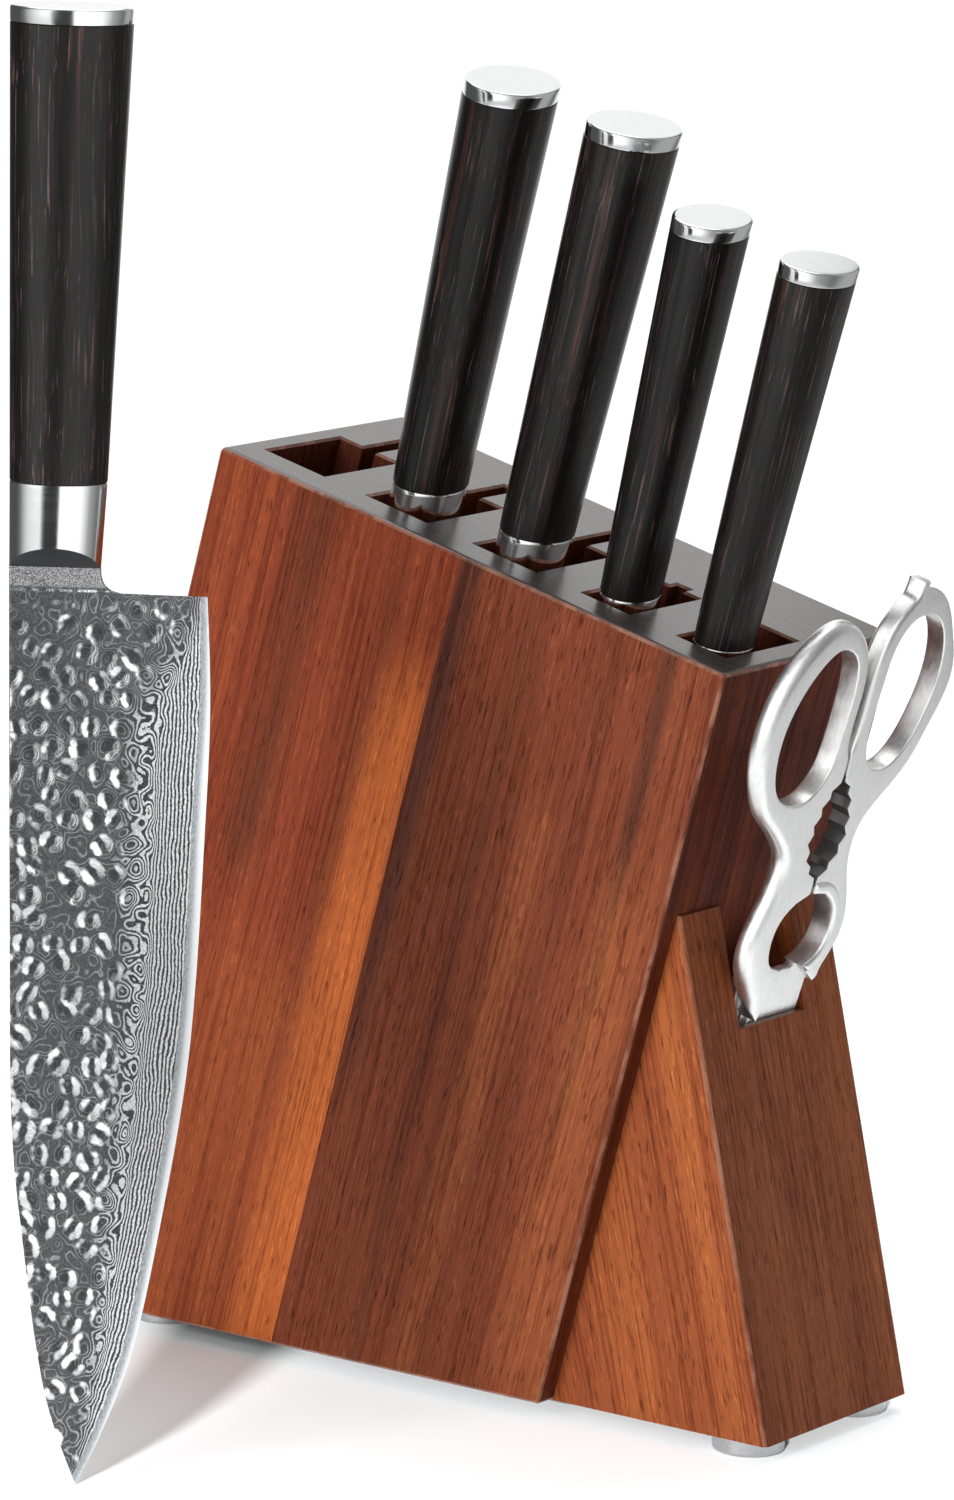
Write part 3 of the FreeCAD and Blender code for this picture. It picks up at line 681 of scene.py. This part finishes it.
def cap_mesh(grip, handle):
    """The steel end cap, with a rounded rim and a brushed top."""
    top = handle + grip.cap
    profile = [(handle, 0.25), (handle + 0.12, 0.06), (handle + 0.3, 0.0), (top - 0.9, 0.0)]
    profile += [(top - CAP_ROUND + CAP_ROUND * sin(a), CAP_ROUND - CAP_ROUND * cos(a))
                for a in (0.26, 0.52, 0.79, 1.05, 1.31, pi / 2)]
    levels = [ring(grip, handle, z, inset) for z, inset in profile]
    for share in (0.85, 0.6, 0.35, 0.12):
        outer = levels[len(profile) - 1]
        levels.append(outer.mean(0) + (outer - outer.mean(0)) * share)
    mesh = lathe(levels, POLISHED, CAP_TOP)
    for face in mesh.polygons:
        if face.center.z > top - 0.02 and face.normal.z > 0.9:
            face.material_index = 1
    return mesh


SHOULDER_Y = 1.5                # half thickness left at the ferrule's lower end
SHOULDER_SLOPE = 0.81           # rise over run of the cut faces


def ferrule_mesh(grip, handle):
    """The ferrule, with both sides of its lower end cut down to the blade's thickness. Its wall
    runs down to the crease where the cut starts, and the cut faces from there to the bottom."""
    bottom = -grip.ferrule
    crease = []
    for angle in TURNS:
        z = bottom
        for _ in range(12):
            _, _, thick = oval(grip, handle, z)
            z = bottom + SHOULDER_SLOPE * max(abs(thick * sin(angle)) - SHOULDER_Y, 0)
        crease.append(z)
    levels = []
    wall = [(0, 0.25), (0.004, 0.08), (0.015, 0)] + [(k, 0) for k in np.linspace(0.06, 1, 14)]
    for share, inset in wall:
        row = []
        for angle, z_end in zip(TURNS, crease):
            z = z_end * share
            centre, wide, thick = oval(grip, handle, z)
            row.append((centre + (wide - inset) * cos(angle), (thick - inset) * sin(angle), z))
        levels.append(np.array(row))
    outer = len(levels)
    for share in np.linspace(0.0, 1, 13)[1:]:
        row = []
        for angle, z_end in zip(TURNS, crease):
            z = z_end + (bottom - z_end) * share
            centre, wide, thick = oval(grip, handle, z)
            y = thick * sin(angle)
            limit = SHOULDER_Y + (z - bottom) / SHOULDER_SLOPE
            row.append((centre + wide * cos(angle), copysign(min(abs(y), limit), y), z))
        levels.append(np.array(row))
    mesh = lathe(levels, POLISHED, SHOULDER)
    for face in mesh.polygons:
        if min(face.vertices) >= (outer - 1) * AROUND and abs(face.normal.z) > 0.4:
            face.material_index = 1
    return mesh


BLADE_HALF = 1.1                # half the blade's thickness at the spine
BLADE_TAPER = 0.030             # half thickness gained for each millimetre from the edge
MARK_PITCH = 6.1
MARK_SCATTER = 1.2
MARK_DEPTH = 0.46
LAYER_PITCH = 0.88              # between the layer lines along the edge
NECK_LENGTH = 4.9               # plain steel under the ferrule


def dimples(seed, low, high):
    """Hammer marks: centre x, z, half length, half width, tilt, depth, the way the wall with its
    painted highlight faces, and how much of that painted highlight the far wall gets too."""
    draw = random.Random(seed)
    marks = []
    row = 0
    z = low
    while z < high:
        x = -15.0 + (row % 2) * MARK_PITCH / 2
        while x < 40:
            if draw.random() < 0.95:
                marks.append((x + draw.uniform(-MARK_SCATTER, MARK_SCATTER),
                              z + draw.uniform(-MARK_SCATTER, MARK_SCATTER),
                              draw.uniform(2.7, 3.9), draw.uniform(2.1, 3.1),
                              radians(draw.uniform(-35, 35)), draw.uniform(0.6, 1.0),
                              radians(draw.choice((0, 0, 0, 180)) + draw.uniform(-35, 35)),
                              draw.choice((0.0, 0.5, 0.9))))
            x += MARK_PITCH
        z += MARK_PITCH * 0.94
        row += 1
    return marks


def noise_at(points, scale_x, scale_z, seed):
    """Smooth noise, from -1 to 1, at points in x and z."""
    return np.array([noise.noise((x * scale_x, z * scale_z, seed)) for x, z in points])


def blade_mesh(runs, cutting, seed, spacing):
    """A hammered, layered blade. cutting gives the numbers of the runs that are its edge."""
    loop, numbers = joined(runs, 0.55)
    on_edge = np.isin(numbers, cutting)
    edge, spine = loop[on_edge], loop[~on_edge]
    radii = np.where(on_edge, 0.02, 0.35)
    neck_z = loop[:, 1].max()
    marks = dimples(seed, loop[:, 1].min(), neck_z)

    def fields(points):
        """The blade's pattern at its points. u is the distance from the cutting edge: up to bevel
        it is ground, then come layer lines, rings, and the hammered side."""
        u, _ = nearest(points, edge)
        v, _ = nearest(points, spine)
        width = u + v
        bevel = 1.6 + 0.033 * np.clip(width, 0, 48)
        lines = bevel + 0.20 * width
        rings = lines + 0.16 * width
        depth = np.zeros(len(points))
        gleam = np.zeros(len(points))
        swell = np.zeros(len(points))
        for x, z, length, wide, tilt, strength, way, far in marks:
            dx, dz = points[:, 0] - x, points[:, 1] - z
            c, s = cos(tilt), sin(tilt)
            e, f = (dz * c + dx * s) / length, (dx * c - dz * s) / wide
            rho = e * e + f * f
            bowl = strength * np.clip(1 - rho, 0, 1) ** 1.4
            reach = np.sqrt(rho)
            # Painted highlight: the wall facing the given way, and sometimes the far wall, is
            # marked to be painted bright.
            wall = np.clip(1 - np.abs(reach - 0.66) / 0.46, 0, 1)
            toward = (f * cos(way) + e * sin(way)) / np.maximum(reach, 1e-6)
            lit = np.clip((toward - 0.15) / 0.6, 0, 1)
            lit += far * np.clip((-toward - 0.35) / 0.5, 0, 1)
            shine = strength * wall * lit
            gleam = np.where(bowl >= depth, np.where(bowl > 0, shine, gleam), gleam)
            depth = np.maximum(depth, bowl)
            swell = np.maximum(swell, strength * np.exp(-0.9 * rho))
        hammer = np.clip((u - rings + 4.0) / 5.0, 0, 1)
        below = neck_z - points[:, 1]
        neck = np.clip((NECK_LENGTH - below) / 0.4, 0, 1)
        started = np.clip((below - 6.0) / 5.0, 0, 1)
        broken = noise_at(points, 0.8, 0.8, seed + 3)
        gleam *= np.clip(0.95 + 0.9 * broken, 0.0, 1.4) * hammer * started
        gleam *= 0.72 + 0.38 * np.clip((below - 20) / 50, 0, 1)
        depth *= started
        seam = np.exp(-((below - 5.5 - 0.5 * broken) / 0.22) ** 2) * np.clip(0.45 + broken, 0, 1)
        gleam = np.maximum(gleam, seam)
        ringed = np.clip((u - lines + 1.2) / 2.4, 0, 1)
        wobble = noise_at(points, 0.10, 0.055, seed)
        fine = noise_at(points, 0.33, 0.30, seed + 7)
        past = np.clip(u - lines, 0, None)
        layer = (np.minimum(u, lines) - bevel) / LAYER_PITCH + 1.4 * (1 - np.exp(-past / 4.0))
        layer += 1.5 * wobble * np.clip(u / 8, 0, 1)
        layer += fine * (0.30 + 1.7 * ringed) + 4.4 * swell * ringed
        return u, bevel, depth, hammer, layer, gleam, neck

    def surface(points, drop):
        u, _, depth, hammer, *_ = fields(points)
        half = np.minimum(BLADE_HALF, 0.10 + u * BLADE_TAPER)
        level = np.maximum(half - np.minimum(drop, half - 0.06), 0.06)
        level = np.maximum(level - MARK_DEPTH * depth * hammer, 0.05)
        return level, -level

    mesh, flat = plate([loop], [radii], spacing, surface, DAMASCUS)
    u, bevel, depth, hammer, layer, gleam, neck = fields(flat)
    for key, values in (("layer", layer), ("hammer", hammer), ("bevel", u - bevel),
                        ("gleam", gleam), ("neck", neck), ("mark", depth * hammer)):
        store(mesh, key, np.concatenate([values, values]))
    return mesh


# Each outline goes down the spine, up the cutting edge and round the heel to the neck. Each of its
# runs starts where the one before it ended.
CHEF_TIP_Z = -240.8
LOW, NECK = LARGE.low, -LARGE.ferrule
SMALL_LOW, SMALL_NECK = SMALL.low, -SMALL.ferrule
LARGE_END = [
    [(12, -26), (10.6, -23.6), (LOW[1], NECK)],
    [(LOW[0], NECK)],
]
CHEF_RUNS = [
    [(-11, -23.6)],
    [(-10.5, -52), (-9.8, -88), (-9.1, -123), (-8.5, -146.5), (-7.1, -166),
     (-4.9, -183), (-1.4, -207.5), (2.4, -224.5), (8.5, CHEF_TIP_Z)],
    [(11.9, -233.7), (16.2, -223.3), (20.4, -211), (23.9, -196), (27.4, -176), (30.5, -156.5),
     (32.9, -137.5), (34.2, -120), (35.7, -80), (36.2, -50.5), (35, -26.2)],
    [(15, -26)],
    [(12.3, -25.1), (10.7, -23.2), (LOW[1], NECK)],
    [(LOW[0], NECK)],
]
SANTOKU_RUNS = [
    [(-11, -27)],
    [(-10.4, -80), (-8.6, -140), (-2, -172), (13, -192), (27, -199)],
    [(31, -186), (33.4, -160), (34.4, -110), (34.5, -70), (34, -27)],
    [(15, -27)],
    *LARGE_END,
]
UTILITY_RUNS = [
    [(-9.1, -22)],
    [(-8.8, -60), (-7.8, -100), (-4.5, -126), (2, -146)],
    [(8.4, -132), (12.8, -110), (15.2, -80), (16, -50), (15.8, -22.5)],
    [(12, -22.3)],
    [(9.8, -21.4), (8.8, -19.4), (SMALL_LOW[1], SMALL_NECK)],
    [(SMALL_LOW[0], SMALL_NECK)],
]
PARING_RUNS = [
    [(-9.1, -22)],
    [(-8.8, -50), (-7.4, -84), (-0.5, -109)],
    [(6.2, -96), (10, -76), (11.8, -50), (11.8, -22.5)],
    [(9.8, -21.6), (8.8, -19.4), (SMALL_LOW[1], SMALL_NECK)],
    [(SMALL_LOW[0], SMALL_NECK)],
]


def scalloped(x, z0, z1, count, depth):
    """A serrated edge: a row of shallow arcs."""
    pitch = (z1 - z0) / count
    return [[(x - depth, z0 + pitch * (i + 0.5)), (x, z0 + pitch * (i + 1))] for i in range(count)]


SCALLOPS = 26
BREAD_RUNS = [
    [(-11, -27)],
    [(-10.8, -90), (-10, -160), (-4.5, -196), (10, -212)],
    [(16, -207), (18.6, -198)],
    *scalloped(18.6, -198, -34, SCALLOPS, 1.2),
    [(18.6, -27)],
    [(15, -27)],
    *LARGE_END,
]

# name, grip, handle length, outline, which of its runs cut, and place
KNIVES = (
    ("chef", LARGE, 106.0, CHEF_RUNS, (2,), CHEF_PLACE),
    ("bread", LARGE, 101.4, BREAD_RUNS, tuple(range(2, 4 + SCALLOPS)),
     in_slot(1, 23.3, 5.9, 3.85)),
    ("santoku", LARGE, 101.4, SANTOKU_RUNS, (2,), in_slot(2, 23.3, 5.6, 1.0)),
    ("utility", SMALL, 93.4, UTILITY_RUNS, (2,), in_slot(3, 21.4, 1.9, 3.8)),
    ("paring", SMALL, 93.4, PARING_RUNS, (2,), in_slot(4, 21.2, 0.1, 1.0)),
)

for number, (knife, grip, handle, runs, cutting, place) in enumerate(KNIVES):
    body = knife + "_knife"
    spacing, steel = (0.62, "damascus_steel") if knife == "chef" else (0.9, "blade_steel")
    for suffix, mesh, slot, node in (
            ("_blade_hammered", blade_mesh(runs, cutting, 11 + number, spacing), steel, "_blade"),
            ("_ferrule_shouldered", ferrule_mesh(grip, handle), "polished_steel", "_ferrule"),
            ("_handle_grained", handle_mesh(grip, handle, number * 0.731), "handle_wood",
             "_handle"),
            ("_cap_rounded", cap_mesh(grip, handle), "polished_steel", "_end_cap")):
        placed(knife + suffix, mesh, place, body, [knife + node])


# --- shears ---
HANDLE_THICK = 5.4
RIM_ROUND = 2.55
INNER_ROUND = 0.45
FINE_ROUND = 0.2
PLATE = 2.4                     # thickness of each blade
FRONT_PLATE_Y = 2.4
BACK_PLATE_Y = 5.1
LIP_RISE = 1.0
LIP_BACK = 2.5
LIP_ROUND = 1.05
LEFT_RIM = [
    (-1, 81.5), (-1.2, 95.5), (-2.6, 101.8), (-6.2, 107.6), (-11.8, 111.8), (-18.5, 113.6),
    (-27.6, 110.4), (-35.2, 103.6), (-39.6, 95.6), (-41.2, 86.4), (-40.4, 79), (-37.2, 71.4),
    (-32.4, 64.6), (-26.1, 59.6), (-20.2, 54.6), (-17, 50.4), (-16.6, 44), (-19.2, 36),
    (-21.4, 28.5), (-20.5, 21.8), (-16.6, 15.6), (-11.9, 9.2)]
LEFT_RING = [
    (-6.7, 95.5), (-9, 102.4), (-13.1, 105.7), (-18.2, 106.7), (-25, 103), (-30.7, 95.9),
    (-33.8, 87), (-33.7, 80.3), (-31.9, 74.2), (-28.4, 69.6), (-22.6, 66.7), (-16.6, 66.3),
    (-11.4, 68.8), (-7.6, 74.2), (-6.7, 80.3)]
RIGHT_RIM = [
    (19, 117.6), (24.6, 116), (30.4, 110.8), (34.4, 104.6), (38, 98), (39.2, 92.4), (38.2, 86.5),
    (34.8, 79), (31.2, 71.8), (25.3, 65.2), (19, 60), (15.3, 55.6), (14.3, 50.8), (15.3, 45),
    (18, 39), (20.4, 32.8), (20.9, 26.4), (18.3, 20.2), (14.3, 14.9)]
RIGHT_RING = [
    (6.2, 95.5), (6.9, 102.6), (9.6, 108), (13.2, 110.6), (18.2, 111.2), (23.7, 109.6),
    (28.6, 104.6), (31.2, 97.5), (31.4, 90.4), (29.6, 83.3), (25.6, 75.6), (19.4, 71),
    (13.2, 71.1), (8.3, 74.4), (6.1, 80.3)]
FRONT_BLADE = [
    [(-0.8, 18), (4.4, 18)],
    [(7.5, 20.5)],
    [(13, 18.8)],
    [(12.4, 9.5)],
    [(12.2, 4), (10, -6), (5.2, -15)],
    [(3.4, -60), (-1.2, -82)],
    [(-5.4, -72), (-8.4, -40), (-10.4, -8), (-9.3, 6.4)],
    [(-3.2, 17.2)],
]
OPENER_LIP = [
    [(10, 22.4), (12.5, 28.2), (10.4, 35), (5.6, 39)],
    [(0.6, 39.8)],
    [(0.6, 42.4)],
    [(7.4, 41.6), (13.2, 36.8), (15.5, 28.2), (12.6, 20.8), (7.2, 17.8)],
    [(4.7, 19.6)],
]
BACK_BLADE = [
    [(-8.5, 17.4)],
    [(-5, 12), (2, 10.8), (8.6, 9.6), (10.4, 2), (10.4, -8), (8.4, -40), (5.4, -72), (1.2, -82)],
    [(-3.4, -60), (-5.2, -15)],
    [(-10.4, -6), (-13, 4), (-13.2, 10)],
    [(-13.8, 16.8)],
]


TEETH = 7
TOOTH_DEPTH = 1.5
TEETH_LOW, TEETH_HIGH, TEETH_REACH = 41, 71.3, 8.9
RIGHT_JAW = [(0.6, 42.6), (5.6, 47.6), (8.4, 54), (7.6, 60.6), (5, 66.6), (0.6, 71.2)]


def teeth(points):
    """A zigzag along a curve, with its tips turned to the middle line."""
    line = spline(points, 0.2)
    picked = line[np.linspace(0, len(line) - 1, 2 * TEETH + 1).astype(int)].copy()
    picked[1::2, 0] -= np.copysign(TOOTH_DEPTH, picked[1::2, 0])
    return [[tuple(point)] for point in picked[1:]]


LEFT_BODY = [
    LEFT_RIM,
    [(-9.7, 7)],
    [(-4, 17)],
    [(-5.6, 20.2)],
    [(-9.9, 22), (-12.4, 27.6), (-10.8, 34.2), (-5.8, 38.2)],
    [(-0.6, 39.8)],
    [(-0.6, 42.6)],
    *teeth([(-x, z) for x, z in RIGHT_JAW]),
    [(-0.4, 77.5)],
]
RIGHT_BODY = [
    [(1.2, 81.5), (1.5, 95.5), (2.2, 103), (5, 110), (10.4, 115.2)],
    [(11.7, 116.4), (12.3, 118.2), (12.6, 120.5)],
    [(15.3, 120.5)],
    [(15.8, 118)],
    RIGHT_RIM,
    [(12.2, 14.2)],
    [(4.7, 19.6)],
    [(10, 22.4), (12.5, 28.2), (10.4, 35), (5.6, 39)],
    [(0.6, 39.8)],
    [(0.6, 42.6)],
    *teeth(RIGHT_JAW),
    [(0.4, 77.5)],
]


def shears_body(runs, hole, rounds):
    """One cast handle: flat faces, a deep round on its outer rims and a toothed jaw."""
    loop, numbers = joined(runs, 0.7)
    radius = np.array([rounds.get(n, FINE_ROUND) for n in numbers])
    for _ in range(6):
        radius = (np.roll(radius, 1) + radius + np.roll(radius, -1)) / 3
    ring_loop = spline(hole, 0.7, closed=True)

    def surface(points, drop):
        return drop, HANDLE_THICK - drop

    mesh, _ = plate([loop, ring_loop], [radius, np.full(len(ring_loop), INNER_ROUND)], 2.2,
                    surface, SHEARS, SHEARS_DARK)
    for face in mesh.polygons:
        x, _, z = face.center
        if abs(face.normal.y) < 0.5 and TEETH_LOW < z < TEETH_HIGH and abs(x) < TEETH_REACH:
            face.material_index = 1
    return mesh


def shears_lip(runs):
    """The bottle opener's lip, a rounded ridge standing in front of the handle."""
    loop, _ = joined(runs, 0.5)

    def surface(points, drop):
        return drop - LIP_RISE, LIP_BACK - drop

    return plate([loop], [np.full(len(loop), LIP_ROUND)], 1.0, surface, SHEARS)[0]


def shears_blade(runs, y0):
    """One blade, a flat plate from depth y0."""
    loop, _ = joined(runs, 0.8)

    def surface(points, drop):
        return y0 + drop, y0 + PLATE - drop

    return plate([loop], [np.full(len(loop), FINE_ROUND)], 2.5, surface, SHEARS)[0]


def merged(*meshes):
    """One mesh from several that share their materials' order."""
    work = bmesh.new()
    for mesh in meshes:
        work.from_mesh(mesh)
    result = bpy.data.meshes.new("mesh")
    work.to_mesh(result)
    work.free()
    for material in meshes[0].materials:
        result.materials.append(material)
    result.set_sharp_from_angle(angle=CREASE)
    return result


# the rim radius of each numbered run, where it isn't the fine one
LEFT_ROUNDS = {0: RIM_ROUND, 4: INNER_ROUND, len(LEFT_BODY) - 1: INNER_ROUND}
RIGHT_ROUNDS = {0: 1.2, 1: 1.0, 2: 1.0, 3: 1.0, 4: RIM_ROUND, 7: INNER_ROUND}
left = merged(shears_body(LEFT_BODY, LEFT_RING, LEFT_ROUNDS),
              shears_blade(BACK_BLADE, BACK_PLATE_Y))
right = merged(shears_body(RIGHT_BODY, RIGHT_RING, RIGHT_ROUNDS),
               shears_blade(FRONT_BLADE, FRONT_PLATE_Y), shears_lip(OPENER_LIP))
placed("shears_left_cast", left, SHEARS_PLACE, "shears", ["shears_left_half"])
placed("shears_right_cast", right, SHEARS_PLACE, "shears_right_half_body",
       ["shears_right_half"])

recoat("shears_pivot", PIVOT)
recoat("feet", FEET_WITH_PAINTED_SHADE)


# --- studio ---
FLOOR_HALF = 60.0
FLOOR_DROP = 0.0001             # keeps the floor just clear of the feet


def floor():
    s = Shader("studio_floor")
    grain = s.noise(s.object_point(), scale=9.0, detail=2)
    pale = s.mix(grain, (0.865, 0.885, 0.893), (0.88, 0.90, 0.908))
    material = s.finish(Base_Color=pale, Roughness=0.75, Specular_IOR_Level=0.15)
    corners = [(x * FLOOR_HALF, y * FLOOR_HALF, 0) for x, y in ((-1, -1), (1, -1), (1, 1), (-1, 1))]
    plane = added("floor", drawn(corners, [(0, 1, 2, 3)], material))
    plane.location.z = -FLOOR_DROP
    return plane


CAMERA_PLACE = (1.0079, -1.4450, 0.4985)
CAMERA_YAW, CAMERA_PITCH, CAMERA_ROLL = (radians(a) for a in (35.254, 10.954, 1.738))
CAMERA_LENS = 172.66


def camera():
    """The camera, which looks down at the near side and the front."""
    a, p, r = CAMERA_YAW, CAMERA_PITCH, CAMERA_ROLL
    ahead = Vector((-sin(a) * cos(p), cos(a) * cos(p), -sin(p)))
    level = Vector((cos(a), sin(a), 0))
    up = level.cross(ahead)
    right = level * cos(r) + up * sin(r)
    top = up * cos(r) - level * sin(r)
    data = bpy.data.cameras.new("camera")
    data.lens = CAMERA_LENS
    data.sensor_width = 36
    data.clip_start = 0.1
    data.clip_end = 200
    view = added("camera", data)
    matrix = Matrix((right, top, -ahead)).transposed().to_4x4()
    matrix.translation = Vector(CAMERA_PLACE)
    view.matrix_world = matrix
    bpy.context.scene.camera = view


def softbox(name, place, target, size, power):
    """A rectangular light that adds no highlights."""
    data = bpy.data.lights.new(name, "AREA")
    data.shape = "RECTANGLE"
    data.size, data.size_y = size
    data.energy = power
    data.specular_factor = 0.0
    light = added(name, data)
    light.location = place
    light.rotation_euler = (Vector(target) - Vector(place)).to_track_quat("-Z", "Y").to_euler()


REFLECTOR_RADIUS = 0.3
REFLECTOR_HEIGHT = 0.62
REFLECTOR_CENTRE = (0.0, -0.06)
REFLECTOR_TURNS = 128
REFLECTOR_ROWS = (0.0, 0.07, 0.125, REFLECTOR_HEIGHT)
# degrees round from the camera, and how bright the reflector's upper rows are there
REFLECTOR = ((-180, 1.12), (-152, 1.12), (-138, 0.10), (-80, 0.09), (-70, 0.20), (-55, 0.85),
             (-36, 1.05), (-33, 0.045), (-14, 0.045), (-11, 1.6), (20, 1.5), (48, 0.45), (80, 0.18),
             (98, 0.45), (124, 0.45), (138, 0.12), (152, 1.12), (180, 1.12))
REFLECTOR_LOW = 0.72            # and how bright its two lower rows are all round


def reflector():
    """A ring of white cards and black flags that only reflections see."""
    s = Shader("studio_reflector")
    coords, faces, shine = [], [], []
    degrees, levels = zip(*REFLECTOR)
    for i in range(REFLECTOR_TURNS):
        angle = -180 + 360 * i / REFLECTOR_TURNS
        way = CAMERA_YAW + radians(angle)
        x = REFLECTOR_CENTRE[0] + REFLECTOR_RADIUS * sin(way)
        y = REFLECTOR_CENTRE[1] - REFLECTOR_RADIUS * cos(way)
        level = float(np.interp(angle, degrees, levels))
        for row, z in enumerate(REFLECTOR_ROWS):
            coords.append((x, y, z))
            shine.append(REFLECTOR_LOW if row < 2 else level)
    rows = len(REFLECTOR_ROWS)
    for i in range(REFLECTOR_TURNS):
        for row in range(rows - 1):
            a, b = i * rows + row, (i + 1) % REFLECTOR_TURNS * rows + row
            faces.append((a, b, b + 1, a + 1))
    glow = s.finish(Base_Color=(0.0, 0.0, 0.0), Emission_Color=(1.0, 1.0, 1.0),
                    Emission_Strength=s.attribute("shine"), Specular_IOR_Level=0.0, Roughness=1.0)
    mesh = drawn(coords, faces, glow)
    store(mesh, "shine", shine)
    cards = added("reflector", mesh)
    for ray in ("camera", "diffuse", "shadow", "transmission", "volume_scatter"):
        setattr(cards, "visible_" + ray, False)


def floor_sun(name, plane, energy, angle, way, rise, blockers=()):
    """A sun that lights the floor alone, from the way it lies and the degrees it stands above the
    floor. Where blockers gives how pieces' names start, only those pieces cast its shadow."""
    data = bpy.data.lights.new(name, "SUN")
    data.energy = energy
    data.angle = radians(angle)
    lamp = added(name, data)
    rise = radians(rise)
    level = cos(rise)
    towards = Vector((sin(way) * level, -cos(way) * level, sin(rise)))
    lamp.rotation_euler = towards.to_track_quat("Z", "Y").to_euler()
    receivers = bpy.data.collections.new(name + "_only")
    receivers.objects.link(plane)
    lamp.light_linking.receiver_collection = receivers
    if blockers:
        casting = bpy.data.collections.new(name + "_blockers")
        for piece in bpy.context.scene.objects:
            if piece.name.startswith(blockers):
                casting.objects.link(piece)
        lamp.light_linking.blocker_collection = casting


ROOM_LIGHT = (0.40, 0.40, 0.40, 1)
BACKDROP = (0.99, 0.99, 0.99, 1)


def studio(plane):
    """A plain world, brighter to the camera, a broad overhead light and a softbox at the front."""
    world = bpy.data.worlds.new("studio")
    bpy.context.scene.world = world
    world.use_nodes = True
    nodes, links = world.node_tree.nodes, world.node_tree.links
    background = nodes["Background"]
    path = nodes.new("ShaderNodeLightPath")
    plain = nodes.new("ShaderNodeMix")
    plain.data_type = "RGBA"
    links.new(path.outputs["Is Camera Ray"], plain.inputs[0])
    plain.inputs[6].default_value = ROOM_LIGHT
    plain.inputs[7].default_value = BACKDROP
    links.new(plain.outputs[2], background.inputs["Color"])
    background.inputs["Strength"].default_value = 1.0
    sun = bpy.data.lights.new("overhead", "SUN")
    sun.energy = 1.3
    sun.angle = radians(55)
    lamp = added("overhead", sun)
    lamp.rotation_euler = (radians(-20), radians(-12), 0)
    all_but_floor = bpy.data.collections.new("all_but_floor")
    all_but_floor.objects.link(plane)
    all_but_floor.collection_objects[0].light_linking.link_state = "EXCLUDE"
    lamp.light_linking.receiver_collection = all_but_floor
    softbox("left_strip", (-0.15, -1.85, 0.55), (0, -0.1, 0.15), (0.8, 1.3), 26)
    bpy.context.scene.view_settings.view_transform = "Standard"


camera()
FLOOR = floor()
floor_sun("floor_key", FLOOR, 3.7, 5, CAMERA_YAW - radians(12), 31,
          ("chef_", "base_board", "feet"))
floor_sun("floor_soft", FLOOR, 0.9, 50, CAMERA_YAW + radians(180), 55)
reflector()
studio(FLOOR)
